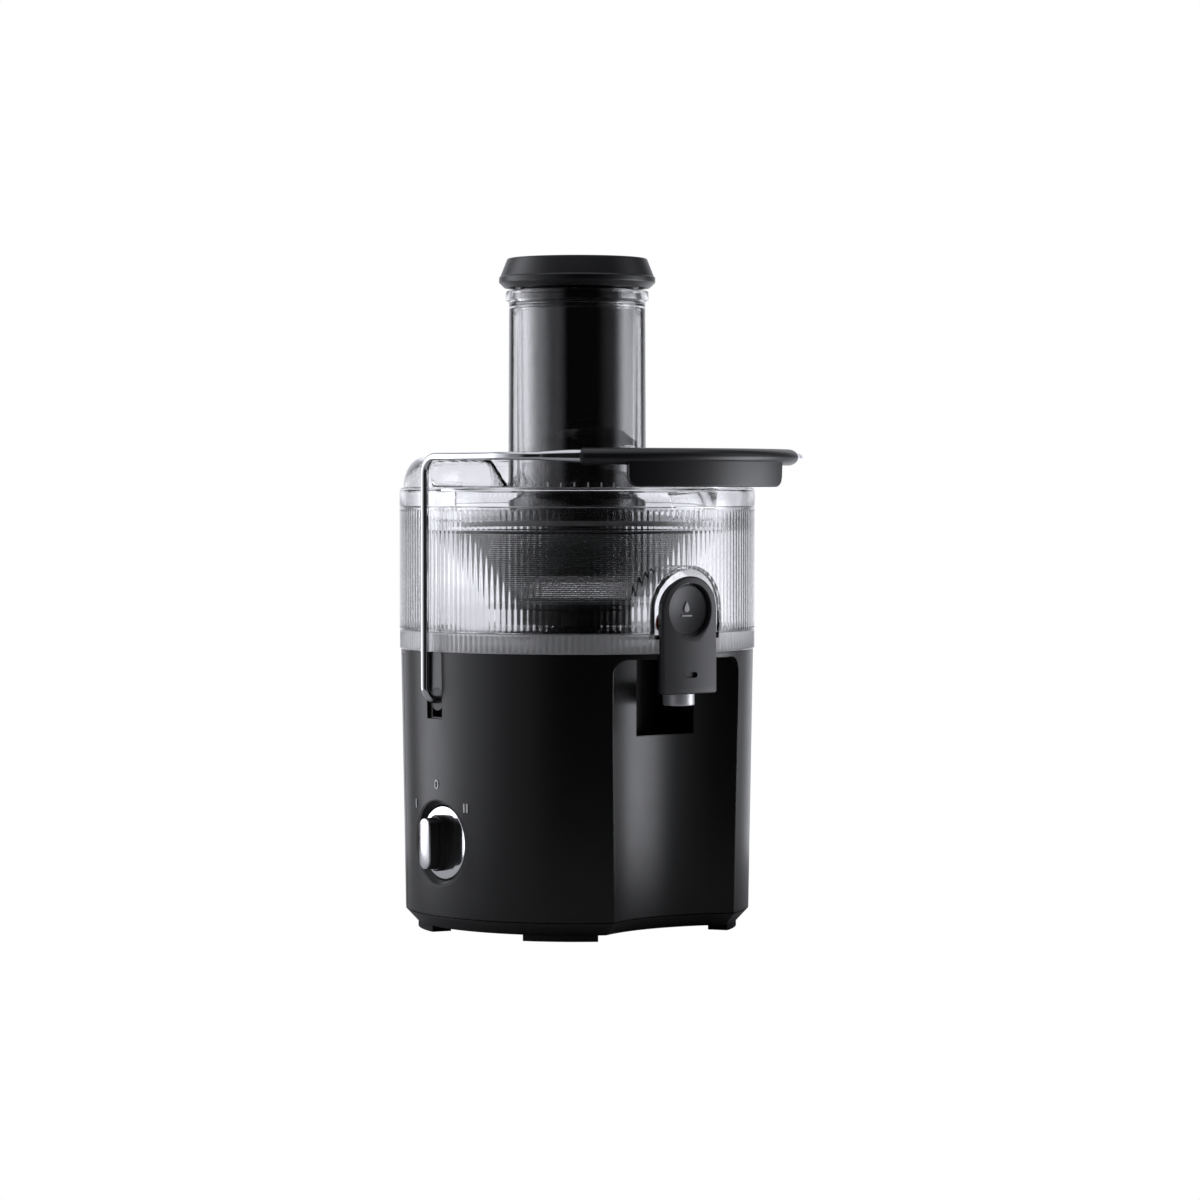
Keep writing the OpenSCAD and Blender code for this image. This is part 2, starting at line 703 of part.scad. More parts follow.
module basket_rim() color("#2b2c2f") {
    ring(cone_top, rim_h, basket_r, basket_r - 4.5);
    ring(cone_top, 1.4, basket_r + 1.2, basket_r - 0.5);
}

// The raised pulp dome, drawn in by a wall thickness to make its hollow
module dome(inset) {
    z_low = lid_top - 3 - inset;
    z_high = lid_top + dome_h - inset;
    outer = bowl_r - 2.5 - inset;
    difference() {
        rotate_extrude() polygon([
            [dome_in + inset, z_low], [outer, z_low], [outer, lid_top - inset],
            [outer - 2.5, lid_top + dome_h * 0.45 - inset], [outer - 8, lid_top + dome_h * 0.8 - inset],
            [outer - 15, z_high], [dome_in + 4 + inset, z_high], [dome_in + inset, lid_top - inset]
        ]);
        rotate([90, 0, 90]) linear_extrude(2 * far, center = true) polygon([
            [-far, z_low - 1], [dome_front_y + inset + dome_run * (z_low - 1 - lid_top), z_low - 1],
            [dome_front_y + inset + dome_run * (z_high + 1 - lid_top), z_high + 1], [-far, z_high + 1]
        ]);
    }
}

module lid() color("#dfe5e8", 0.35) {
    difference() {
        union() {
            ring(lid_low, lid_rim_h, bowl_r, bowl_in - slide_gap - clear_wall);
            ring(lid_low - lid_skirt, lid_skirt + 1, bowl_in - slide_gap, bowl_in - slide_gap - clear_wall);
            ring(lid_top - clear_wall, clear_wall, bowl_r - 1, outer_tube_r - 1);
            dome(0);
        }
        dome(clear_wall);
    }
    // ledge that keeps the pulp above the basket's rim, open at the back
    sector(-96, 96) band(ledge_r, ledge_r + clear_wall, cone_top + rim_h + 1, lid_top - clear_wall + 0.5);
    ring(lid_top - 11, chute_rim - lid_top + 11 - rim_bead, outer_tube_r, outer_tube_r - clear_wall);
    ring(chute_rim - rim_bead - 0.1, rim_bead + 0.1, outer_tube_r + 1.5, outer_tube_r - clear_wall);
    ring(chute_end, inner_top - chute_end, chute_r + 2, chute_r);
    for (z = [lid_top - clear_wall, inner_top - clear_wall])
        ring(z, clear_wall, outer_tube_r - 1, chute_r + 1);
}

module lid_seal() color("#e4e4e4") sector(-96, 96)
    band(ledge_r - 1.6, ledge_r - seat_gap, cone_top + rim_h + 1.5, cone_top + rim_h + 4.5);

module pusher_body() color("#0f0f10") {
    difference() {
        translate([0, 0, chute_end + 4]) cylinder(h = cap_low - chute_end - 0.1, r = pusher_r);
        translate([0, 0, chute_end + 4 + pusher_wall])
            cylinder(h = far, r = pusher_r - pusher_wall);
    }
    ring(inner_top + 0.3, flange_h, flange_r, pusher_r - 1);
}

module pusher_cap() color("#161617") difference() {
    rotate_extrude() polygon([
        [0, cap_low + 5.1], [pusher_r - 0.5, cap_low + 5.1], [pusher_r + 0.05, cap_low + 4],
        [pusher_r + 0.05, cap_low], [cap_r - 4.5, cap_low], [cap_r - 2, cap_low + 1],
        [cap_r, cap_low + 3], [cap_r, cap_low + 6.5], [cap_top_r, cap_low + cap_h - 1.5],
        [cap_top_r - 2, cap_low + cap_h], [0, cap_low + cap_h]
    ]);
    ring(cap_low - 1, 4, cap_r - 4, flange_r + 1.5);
}

module pulp_bin() color("#1c1c1e") difference() {
    intersection() {
        body_solid(0, bin_low, bin_high);
        translate([-far, bin_y, 0]) cube([2 * far, far, far]);
    }
    intersection() {
        body_solid(bin_wall, bin_low + bin_wall, deck_z);
        translate([-far, bin_y + bin_wall, bin_low + bin_wall]) cube([2 * far, far, far]);
    }
    translate([-scoop_w / 2, body_r - scoop_depth, scoop_z - scoop_h / 2]) cube([scoop_w, far, scoop_h]);
}

module bin_grip() color("#2a2a2c") difference() {
    intersection() {
        translate([-scoop_w / 2 + 0.1, body_r - scoop_depth - bin_wall, scoop_z - scoop_h / 2 + 0.1])
            cube([scoop_w - 0.2, far, scoop_h - 0.2]);
        body_solid(0.4, bin_low, bin_high);
    }
    translate([-scoop_w / 2 + 2.5, body_r - scoop_depth, scoop_z - scoop_h / 2 + 2.5])
        cube([scoop_w - 5, far, scoop_h - 5]);
}

housing();
base_plate();
feet();
base_screws();
knob_bezel();
dial_marks();
rotary_switch();
pivot_bush_left();
pivot_bush_right();
interlock_switch();
motor_stator();
motor_windings();
motor_top_bracket();
motor_bottom_bracket();
motor_bolts();
motor_mounts();
top_bearing();
bottom_bearing();
carbon_brushes();
control_board();
shaft_seal();
cord_gland();
knob_disc();
knob_bar();
knob_face();
knob_shaft();
bail_wire();
bail_ferrules();
bail_grip();
motor_shaft();
armature();
commutator();
cooling_fan();
drive_coupling();
juice_collector();
spout_cover();
spout_nozzle();
drip_button();
drop_mark();
valve_stem();
valve_seal();
button_spring();
basket_hub();
grating_disc();
filter_cone();
basket_rim();
lid();
lid_seal();
pusher_body();
pusher_cap();
pulp_bin();
bin_grip();
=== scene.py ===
# %% [markdown]
# # Centrifugal juicer
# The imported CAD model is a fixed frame: every body, joint and node already has its place. This
# lesson builds the pieces that are seen, one by one, around that frame, and gives each its finish.
# All lengths are metres. +Z is up, the spout faces -Y and the speed knob faces -X.

# %% Load the frame
import math

import bmesh
import bpy
import numpy as np
from mathutils import Matrix, Vector


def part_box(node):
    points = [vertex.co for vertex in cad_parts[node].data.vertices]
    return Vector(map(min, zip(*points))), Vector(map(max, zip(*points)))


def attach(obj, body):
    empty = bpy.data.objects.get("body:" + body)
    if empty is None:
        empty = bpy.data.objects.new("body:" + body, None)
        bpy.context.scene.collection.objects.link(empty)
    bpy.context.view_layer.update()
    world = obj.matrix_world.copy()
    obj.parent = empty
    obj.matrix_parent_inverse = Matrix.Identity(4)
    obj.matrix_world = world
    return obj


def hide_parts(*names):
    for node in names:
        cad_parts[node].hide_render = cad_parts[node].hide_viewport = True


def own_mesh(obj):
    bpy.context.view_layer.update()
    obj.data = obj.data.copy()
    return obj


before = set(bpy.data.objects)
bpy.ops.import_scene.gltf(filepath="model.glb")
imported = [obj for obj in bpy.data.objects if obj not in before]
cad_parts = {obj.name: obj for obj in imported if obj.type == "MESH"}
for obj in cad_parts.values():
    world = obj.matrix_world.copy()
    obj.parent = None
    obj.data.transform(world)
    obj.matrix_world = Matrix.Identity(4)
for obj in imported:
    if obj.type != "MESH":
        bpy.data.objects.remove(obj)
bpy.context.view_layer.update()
MM = 0.001
BOX = {name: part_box(name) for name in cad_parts}

# %% [markdown]
# ## Camera
# The machine is looked at from 38 degrees to the left of its front, from about two and a half
# metres away and from just under the height of the lid, through a long lens. The camera tips down
# a little instead of using lens shift, because a shift would stay in every other view.

# %% Camera
VIEW_ANGLE = math.radians(38)
CAMERA_DISTANCE = 2.555
CAMERA_HEIGHT = 0.2806
AIM_RIGHT = math.radians(0.33)
AIM_DOWN = math.radians(1.59)

camera = bpy.data.objects.new("camera", bpy.data.cameras.new("camera"))
camera.data.lens = 118.8
camera.data.sensor_width = 36
camera.location = (-CAMERA_DISTANCE * math.sin(VIEW_ANGLE),
                   -CAMERA_DISTANCE * math.cos(VIEW_ANGLE), CAMERA_HEIGHT)
heading = VIEW_ANGLE + AIM_RIGHT
aim = Vector((math.sin(heading), math.cos(heading), -math.tan(AIM_DOWN)))
camera.rotation_euler = aim.to_track_quat("-Z", "Y").to_euler()
bpy.context.scene.collection.objects.link(camera)
bpy.context.scene.camera = camera

# %% [markdown]
# ## Surfaces from arrays
# Every new piece is a grid of points worked out with numpy. `skin` turns a grid into a mesh;
# `revolve` carries a closed outline around the spin axis; `carry` moves an outline along a path.

# %% Mesh helpers
def quads(rows, cols, close_rows, close_cols):
    """Index array of the quads between neighbouring points of a rows x cols grid."""
    i = np.arange(rows if close_rows else rows - 1)[:, None]
    j = np.arange(cols if close_cols else cols - 1)[None, :]
    i2, j2 = (i + 1) % rows, (j + 1) % cols
    return np.stack([i * cols + j, i2 * cols + j, i2 * cols + j2, i * cols + j2], -1).reshape(-1, 4)


def make_object(name, points, faces, sharp=35):
    """A mesh object from points (n, 3) and lists of faces, doubles merged and normals outwards."""
    mesh = bpy.data.meshes.new(name)
    mesh.from_pydata(points.tolist(), [], [list(f) for f in faces])
    obj = bpy.data.objects.new(name, mesh)
    bpy.context.scene.collection.objects.link(obj)
    tidy_mesh(obj, sharp)
    return obj


def tidy_mesh(obj, sharp=35):
    """Merges doubles, turns the normals outwards and shades smooth except across sharp edges."""
    bm = bmesh.new()
    bm.from_mesh(obj.data)
    bmesh.ops.remove_doubles(bm, verts=bm.verts, dist=1e-6)
    bmesh.ops.dissolve_degenerate(bm, edges=bm.edges, dist=1e-7)
    bmesh.ops.recalc_face_normals(bm, faces=bm.faces)
    bm.to_mesh(obj.data)
    bm.free()
    obj.data.polygons.foreach_set("use_smooth", np.ones(len(obj.data.polygons), bool))
    obj.data.set_sharp_from_angle(angle=math.radians(sharp))


def skin(name, grid, close_rows=False, close_cols=False, caps=False, sharp=35):
    """A grid of points (rows, cols, 3) as a surface. Caps close the first and last row of a tube."""
    rows, cols = grid.shape[:2]
    faces = quads(rows, cols, close_rows, close_cols).tolist()
    if caps:
        faces += [list(range(cols)), list(range((rows - 1) * cols, rows * cols))]
    return make_object(name, grid.reshape(-1, 3), faces, sharp)


def fillet(points, radius, steps=5):
    """A closed outline with its corners rounded. Each corner gives way to the curve
    (1-t)^2 start + 2t(1-t) corner + t^2 end, which leaves the two sides where an arc of that
    radius would. radius is one number, or one for each corner."""
    pts = np.asarray(points, float)
    radii = np.broadcast_to(np.asarray(radius, float), len(pts))
    out = []
    for k, (p, r) in enumerate(zip(pts, radii)):
        a, b = pts[k - 1] - p, pts[(k + 1) % len(pts)] - p
        la, lb = np.linalg.norm(a), np.linalg.norm(b)
        a, b = a / la, b / lb
        half = math.acos(np.clip(a @ b, -1, 1)) / 2
        cut = min(r / math.tan(half), la * 0.49, lb * 0.49) if half < 1.56 else 0
        if r <= 0 or cut <= 0:
            out.append(p[None])
            continue
        t = np.linspace(0, 1, steps)[:, None]
        start, end = p + a * cut, p + b * cut
        out.append((1 - t) ** 2 * start + 2 * t * (1 - t) * p + t ** 2 * end)
    return np.vstack(out)


def revolve(name, outline, around=192, sharp=35, ripple=None, turn=(0, 2 * math.pi)):
    """Carries a closed outline of (radius, height) points around the spin axis.
    ripple(radius, height, angle) may change the radius, such as for ribs."""
    whole = abs(turn[1] - turn[0] - 2 * math.pi) < 1e-6
    angle = np.linspace(*turn, around, endpoint=not whole)[:, None]
    radius = np.repeat(outline[None, :, 0], around, 0)
    height = np.repeat(outline[None, :, 1], around, 0)
    if ripple:
        radius = ripple(radius, height, angle)
    grid = np.stack([radius * np.cos(angle), radius * np.sin(angle), height], -1)
    return skin(name, grid, close_rows=whole, close_cols=True, caps=not whole, sharp=sharp)


def carry(name, path, outline, up, sharp=35, scale=None):
    """Carries a closed outline of (side, up) points along a path. The side direction at each station
    is the cross product of the path's direction and the reference direction up."""
    path = np.asarray(path, float)
    ahead = np.gradient(path, axis=0)
    ahead /= np.linalg.norm(ahead, axis=1)[:, None]
    side = np.cross(ahead, np.asarray(up, float))
    side /= np.linalg.norm(side, axis=1)[:, None]
    over = np.cross(side, ahead)
    grow = np.ones(len(path)) if scale is None else scale
    grid = (path[:, None] + side[:, None] * (outline[None, :, :1] * grow[:, None, None])
            + over[:, None] * (outline[None, :, 1:2] * grow[:, None, None]))
    return skin(name, grid, close_cols=True, caps=True, sharp=sharp)


def circle(radius, n=24):
    """n points round a circle."""
    t = np.linspace(0, 2 * math.pi, n, endpoint=False)
    return np.stack([radius * np.cos(t), radius * np.sin(t)], -1)


def upright(inner, outer, low, high, round_off, steps=3):
    """The outline of an upright wall with rounded corners, as (radius, height) points."""
    return fillet([(inner, low), (outer, low), (outer, high), (inner, high)], round_off, steps)


def stadium(length, width, n=12):
    """An upright outline with half-round ends, length along the second axis."""
    t = np.linspace(0, math.pi, n)
    top = np.stack([width / 2 * np.cos(t), (length - width) / 2 + width / 2 * np.sin(t)], -1)
    return np.vstack([top, -top])


def slab(name, outline, z_levels, insets, place, sharp=35):
    """A flat-ended piece: the outline at each level, drawn in by an inset, closed at both ends.
    The inset moves every point towards the outline's middle; place turns (x, y, z) into the frame."""
    middle = outline.mean(0)
    arm = outline - middle
    reach = np.linalg.norm(arm, axis=1)[:, None]
    rings = [np.hstack([middle + arm * (1 - inset / reach), np.full((len(outline), 1), z)])
             for z, inset in zip(z_levels, insets)]
    grid = place(np.stack(rings).reshape(-1, 3)).reshape(len(rings), len(outline), 3)
    return skin(name, grid, close_cols=True, caps=True, sharp=sharp)


def cut(obj, knife):
    """Cuts one closed mesh with another and throws the knife away."""
    boolean = obj.modifiers.new("cut", "BOOLEAN")
    boolean.operation, boolean.solver, boolean.object = "DIFFERENCE", "EXACT", knife
    bpy.context.view_layer.update()
    mesh = bpy.data.meshes.new_from_object(obj.evaluated_get(bpy.context.evaluated_depsgraph_get()))
    obj.modifiers.clear()
    obj.data = mesh
    bpy.data.objects.remove(knife)
    mesh.polygons.foreach_set("use_smooth", np.ones(len(mesh.polygons), bool))
    mesh.set_sharp_from_angle(angle=math.radians(35))


def join(name, objects):
    """Several meshes made one piece."""
    with bpy.context.temp_override(active_object=objects[0], selected_editable_objects=objects):
        bpy.ops.object.join()
    objects[0].name = name
    objects[0].data.name = name
    return objects[0]


# %% [markdown]
# ## Shader arithmetic
# A finish is a Principled shader whose colour, roughness and normal vary over the surface.
# `Value` wraps a socket, so that shader maths is written like ordinary maths.

# %% Finish class
def maths(operation, swapped=False):
    """A method that adds a Math node for two terms; swapped puts the other term first."""
    def method(self, other):
        terms = (other, self) if swapped else (self, other)
        return self.shading.node("Math", {"operation": operation}, dict(enumerate(terms)))
    return method


class Value:
    """A number that varies from place to place. Arithmetic on it adds Math nodes."""

    def __init__(self, shading, socket):
        self.shading, self.socket = shading, socket

    __add__, __radd__ = maths("ADD"), maths("ADD", swapped=True)
    __sub__, __rsub__ = maths("SUBTRACT"), maths("SUBTRACT", swapped=True)
    __mul__, __rmul__ = maths("MULTIPLY"), maths("MULTIPLY", swapped=True)
    power = maths("POWER")
    above = maths("GREATER_THAN")
    arctan2 = maths("ARCTAN2")

    def fract(self):
        return self.shading.node("Math", {"operation": "FRACT"}, {0: self})


class Shading:
    """The node tree of a material or of the world."""

    def __init__(self, tree):
        self.tree = tree

    def node(self, kind, settings, inputs, output=0):
        """Adds one node: its settings first, then the values or links of its sockets."""
        made = self.tree.nodes.new("ShaderNode" + kind)
        for key, value in settings.items():
            setattr(made, key, value)
        for key, value in inputs.items():
            self.join(value, made.inputs[key])
        return Value(self, made.outputs[output])

    def join(self, value, socket):
        """Links a Value to a socket, or sets the socket to a plain value."""
        if isinstance(value, Value):
            self.tree.links.new(value.socket, socket)
        elif value is not None:
            socket.default_value = value


class Finish(Shading):
    """A material with one Principled shader. Fixed values are set on the shader's own sockets."""

    def __init__(self, name, **fixed):
        self.material = bpy.data.materials.new(name)
        self.material.use_nodes = True
        super().__init__(self.material.node_tree)
        self.shader = next(n for n in self.tree.nodes if n.type == "BSDF_PRINCIPLED")
        for socket, value in fixed.items():
            self.shader.inputs[socket.replace("_", " ")].default_value = value

    def set(self, socket, value):
        self.join(value, self.shader.inputs[socket])

    def place(self):
        return self.node("TexCoord", {}, {}, "Object")

    def stretched(self, scale):
        return self.node("Mapping", {}, {"Vector": self.place(), "Scale": scale})

    def noise(self, scale, detail=2.0, vector=None):
        inputs = {"Vector": vector or self.place(), "Scale": scale, "Detail": detail}
        return self.node("TexNoise", {}, inputs, "Fac")

    def between(self, factor, low, high):
        """A colour that goes from low to high as factor goes from 0 to 1."""
        return self.node("Mix", {"data_type": "RGBA"}, {0: factor, 6: low, 7: high}, 2)

    def relief(self, height, depth, edge=0.0):
        """Bumps of a real depth in metres. edge is the radius that sharp CAD edges look worn to."""
        normal = self.node("Bevel", {"samples": 4}, {"Radius": edge}, "Normal") if edge else None
        bump = {"Height": height, "Distance": depth, "Strength": 1.0, "Normal": normal}
        self.set("Normal", self.node("Bump", {}, bump, "Normal"))


def grey(value, blue=1.0):
    return (value, value, value * blue, 1)


# %% [markdown]
# ## Finishes
# Most of the machine is black or dark grey moulded plastic. What tells one moulding from another
# is its gloss, its fine grain and how its corners catch the light, so each plastic is made by one
# recipe with different numbers: a faint cloudy tone, a roughness that drifts, and a spark-eroded grain.

# %% Plastics
GRAIN_SCALE = 2600
DRIFT = 0.05


def moulded(name, tone, rough, grain=0.000012, blue=1.06, edge=0.0):
    """Moulded plastic: cloudy tone, drifting roughness and a fine grain."""
    f = Finish(name, IOR=1.48)
    f.set("Base Color", f.between(f.noise(38, 3), grey(tone * 0.8, blue), grey(tone * 1.25, blue)))
    f.set("Roughness", rough - DRIFT / 2 + DRIFT * f.noise(95, 2))
    f.relief(f.noise(GRAIN_SCALE, 2), grain, edge=edge)
    return f.material


HOUSING_BLACK = moulded("housing_black", 0.0032, 0.30, grain=0.000003, edge=0.0011)
BASE_BLACK = moulded("base_black", 0.0045, 0.36, grain=0.000004, edge=0.0006)
TRIM_BLACK = moulded("trim_black", 0.004, 0.42, grain=0.00002)
GRIP_GREY = moulded("grip_grey", 0.011, 0.34, grain=0.000005, blue=1.12)
SPOUT_GREY = moulded("spout_grey", 0.026, 0.40, grain=0.000005, blue=1.12)
PUSHER_BLACK = moulded("pusher_black", 0.0028, 0.12, grain=0.000001, blue=1.15)
CAP_BLACK = moulded("cap_black", 0.006, 0.36, grain=0.000005, blue=1.12)
HUB_BLACK = moulded("hub_black", 0.012, 0.4)
SWITCH_GREY = moulded("switch_grey", 0.05, 0.5)
WHITE_PRINT = moulded("white_print", 0.62, 0.5, grain=0.000004, blue=1.0)

# %% [markdown]
# Clear polycarbonate bends light, so it is a real dielectric with a wall thickness, not a
# see-through colour. A trace of moulding haze keeps it from looking like a vacuum.

# %% Clear plastic
def clear(name, tint, haze, through=1.0):
    """Clear plastic: haze is its roughness, through the share of the light that passes into it."""
    f = Finish(name, Transmission_Weight=through, IOR=1.45)
    f.set("Base Color", f.between(f.noise(24, 2), grey(tint - 0.02, 1.004), grey(tint, 1.004)))
    f.set("Roughness", haze * (0.6 + 0.8 * f.noise(60, 3)))
    f.relief(f.noise(160, 2), 0.00002)
    return f.material


CLEAR_BOWL = clear("clear_bowl", 0.94, 0.05)
CLEAR_LID = clear("clear_lid", 0.98, 0.02)
FROSTED = clear("frosted_edge", 0.96, 0.22, through=0.66)

# %% [markdown]
# Metals: drawn and polished wire for the bail, brushed steel for the basket and shafts, and a
# duller die-cast metal for the motor's brackets. Brushing is noise stretched along the stroke.

# %% Metals
def metal(name, colour, rough, stroke=(900, 900, 30), depth=0.000006, drift=0.08, edge=0.0, metallic=1.0):
    """Brushed metal: tone, roughness and relief all follow noise stretched along the stroke."""
    f = Finish(name, Metallic=metallic)
    lines = f.noise(1.0, 3, f.stretched(stroke))
    f.set("Base Color", f.between(lines, tuple(c * 0.86 for c in colour) + (1,), colour + (1,)))
    f.set("Roughness", rough - drift / 2 + drift * lines)
    f.relief(lines, depth, edge=edge)
    return f.material


CHROME = metal("chrome_wire", (0.74, 0.75, 0.77), 0.12, depth=0.000002, drift=0.04)
MIRROR_SILVER = metal("mirror_silver", (0.83, 0.83, 0.85), 0.07, depth=0.000001, drift=0.03)
SILVER_PAINT = metal("silver_paint", (0.80, 0.80, 0.82), 0.38, depth=0.000002, drift=0.05, metallic=0.45)
SATIN_SILVER = metal("satin_silver", (0.80, 0.80, 0.82), 0.24, depth=0.000002, drift=0.05)
STEEL = metal("brushed_steel", (0.52, 0.53, 0.55), 0.32)
DIE_CAST = metal("die_cast", (0.5, 0.51, 0.53), 0.5, (300, 300, 300), 0.00003, edge=0.0005)
LAMINATED = metal("laminated_core", (0.3, 0.31, 0.33), 0.45, (6, 6, 2600), 0.00004)
COPPER = metal("copper_winding", (0.62, 0.25, 0.1), 0.35, (60, 60, 1800), 0.0001)

# %% [markdown]
# The filter is etched sheet: rows of holes much too fine to model one by one. The holes are real
# openings in the alpha of the sheet, laid out on the cone's own UV map.

# %% Filter sheet
HOLE_SHARE = 0.3


def filter_sheet():
    """Round holes, one to a cell of the UV map, with every second row moved by half a cell.
    The sheet is solid where the distance from the cell's middle is above the hole's radius."""
    f = Finish("filter_sheet", Metallic=1.0)
    u = f.node("SeparateXYZ", {}, {0: f.node("UVMap", {"uv_map": "holes"}, {})})
    v = Value(f, u.socket.node.outputs[1])
    shifted = u + 0.5 * ((v * 0.5).fract().above(0.5))
    du, dv = shifted.fract() - 0.5, v.fract() - 0.5
    hole = (du * du + dv * dv).power(0.5)
    f.set("Alpha", hole.above(HOLE_SHARE))
    f.set("Base Color", f.between(f.noise(300, 2), grey(0.2), grey(0.36)))
    f.set("Roughness", 0.3 + 0.15 * f.noise(500, 2))
    f.relief(hole, 0.0001)
    return f.material


FILTER = filter_sheet()

# %% Rubber, silicone and the circuit board
def soft(name, colour, rough):
    """Rubber or silicone: a dull, uneven tone and a fine relief."""
    f = Finish(name, Specular_IOR_Level=0.35)
    tone = f.noise(70, 4)
    f.set("Base Color", f.between(tone, tuple(c * 0.75 for c in colour) + (1,), colour + (1,)))
    f.set("Roughness", rough - 0.1 + 0.2 * f.noise(400, 2))
    f.relief(f.noise(1500, 3), 0.00003, edge=0.0004)
    return f.material


RUBBER = soft("black_rubber", (0.014, 0.014, 0.015), 0.75)
SILICONE = soft("pale_silicone", (0.6, 0.6, 0.58), 0.45)
RED_SILICONE = soft("red_silicone", (0.35, 0.03, 0.02), 0.5)


def circuit_board():
    """Green lacquer over tracks, which are the joints of a small brick pattern."""
    f = Finish("circuit_board", Coat_Weight=0.4)
    grid = {"Vector": f.stretched((260, 260, 260)), "Scale": 1.0}
    tracks = f.node("TexBrick", {"offset": 0.3}, grid, "Fac")
    f.set("Base Color", f.between(tracks, (0.01, 0.09, 0.035, 1), (0.03, 0.2, 0.08, 1)))
    f.set("Roughness", 0.3 + 0.2 * f.noise(200, 2))
    f.relief(tracks, 0.00005)
    return f.material


BOARD = circuit_board()

# %% [markdown]
# ## CAD nodes that stay
# The housing, base plate, feet, motor and the other hidden pieces have the right shape already, so
# they keep their CAD mesh and only take a finish. Their long edges are softened in the shading.

# %% Give the CAD nodes their finishes
KEPT = {
    HOUSING_BLACK: ["housing", "pulp_bin"],
    BASE_BLACK: ["base_plate"],
    RUBBER: ["feet", "motor_mounts", "cord_gland"],
    TRIM_BLACK: ["pivot_bush_left", "pivot_bush_right", "bin_grip", "knob_bezel", "cooling_fan",
                 "drive_coupling", "carbon_brushes"],
    STEEL: ["base_screws", "motor_bolts", "top_bearing", "bottom_bearing", "knob_shaft", "motor_shaft",
            "grating_disc"],
    DIE_CAST: ["motor_top_bracket", "motor_bottom_bracket"],
    LAMINATED: ["motor_stator", "armature"],
    COPPER: ["motor_windings", "commutator"],
    BOARD: ["control_board"],
    SWITCH_GREY: ["rotary_switch", "interlock_switch"],
    RED_SILICONE: ["shaft_seal", "valve_seal"],
    SILICONE: ["valve_stem", "lid_seal"],
    WHITE_PRINT: ["dial_marks", "drop_mark"],
}
for finish, names in KEPT.items():
    for name in names:
        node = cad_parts[name]
        node.data.materials.clear()
        node.data.materials.append(finish)
print(sum(len(names) for names in KEPT.values()), "CAD nodes have a finish")


def dress(obj, finish, body, slot, *nodes):
    """Finishes a new piece: its material, the body it rides on and the nodes it replaces. The slot argument
    is not used.
    """
    obj.data.materials.clear()
    obj.data.materials.append(finish)
    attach(obj, body)
    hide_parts(*nodes)
    print(obj.name, len(obj.data.polygons), "faces")
    return obj


# %% [markdown]
# ## Juice collector
# A clear bowl whose upright ribs turn everything behind it into stripes. The outer wall is an
# outline carried around the axis, its radius rippled by the ribs between the two smooth bands.
# The alcove that the spout stands in is cut through the wall as an arch, and a second, smaller
# clear piece closes it from behind.

# %% Bowl wall
bowl_low, bowl_high = BOX["juice_collector"]
BOWL_R = bowl_high.x
BOWL_Z, BOWL_TOP = bowl_low.z, bowl_high.z
WALL = 2.2 * MM
AXIS = 0.01 * MM
RIBS = 180
RIB_DEPTH, FOOT_RIB_DEPTH = 0.32 * MM, 0.6 * MM
RIB_FADE = 1.2 * MM
FOOT_BAND = 12.6 * MM
STEPS_PER_RIB = 6


def ribbed(low, high, depth=RIB_DEPTH):
    """A ripple for revolve: round-topped ribs on the outer wall between two heights.
    Radius falls by depth * sin^2 between ribs, and the fade is a smooth step at each end."""
    def ripple(radius, height, angle):
        rib = np.sin(angle * RIBS / 2) ** 2
        t = np.clip(np.minimum(height - low, high - height) / RIB_FADE, 0, 1)
        outer = radius > BOWL_R - WALL / 2
        return radius - outer * depth * rib * t * t * (3 - 2 * t)
    return ripple


def wall_outline(inner, outer, low, high, stations, round_off=0.5 * MM):
    """A closed outline of an upright wall, with extra stations up its outer face."""
    heights = np.asarray(stations)
    face = np.stack([np.full(len(heights), outer), heights], -1)
    return np.vstack([[[inner, high], [inner, low], [outer - round_off, low], [outer, low + round_off]],
                      face, [[outer, high - round_off], [outer - round_off, high]]])


rib_low, rib_high = BOWL_Z + FOOT_BAND + 0.6 * MM, BOWL_TOP - 1.6 * MM
stations = np.concatenate([[rib_low - 0.1 * MM], rib_low + np.linspace(0, 1.6, 4) * MM,
                           np.linspace(rib_low + 8 * MM, rib_high - 8 * MM, 6),
                           rib_high - np.linspace(1.6, 0, 4) * MM])
wall = revolve("wall", wall_outline(BOWL_R - WALL, BOWL_R, BOWL_Z + FOOT_BAND, BOWL_TOP, stations),
               RIBS * STEPS_PER_RIB, ripple=ribbed(rib_low, rib_high))
band_low, band_high = BOWL_Z + 0.8 * MM, BOWL_Z + FOOT_BAND - 0.8 * MM
band_stations = np.array([band_low, band_low + 1 * MM, band_high - 1 * MM, band_high])
foot_outline = wall_outline(BOWL_R - WALL - 1.4 * MM, BOWL_R - 0.2 * MM, BOWL_Z,
                            BOWL_Z + FOOT_BAND - 0.1 * MM, band_stations)
foot = revolve("foot", foot_outline, RIBS * STEPS_PER_RIB, ripple=ribbed(band_low, band_high, FOOT_RIB_DEPTH))

# %% Alcove
SPOUT_HALF = BOX["spout_cover"][1].x
ALCOVE_HALF = SPOUT_HALF + 4 * MM
ALCOVE_TOP = BOWL_Z + 52.5 * MM
ALCOVE_R = BOWL_R - 20.5 * MM
FLOOR_Z = BOWL_Z + 9 * MM
VALVE_Z, VALVE_HOLE_R = FLOOR_Z + 9.5 * MM, 6 * MM
SPOUT_GAP = 0.5 * MM


def arch(half_width, low, high, n=24):
    """An upright outline with a flat foot and a half-round top, as (x, z) points."""
    t = np.linspace(0, math.pi, n)
    top = np.stack([half_width * np.cos(t), high - half_width + half_width * np.sin(t)], -1)
    return np.vstack([top, [[-half_width, low], [half_width, low]]])


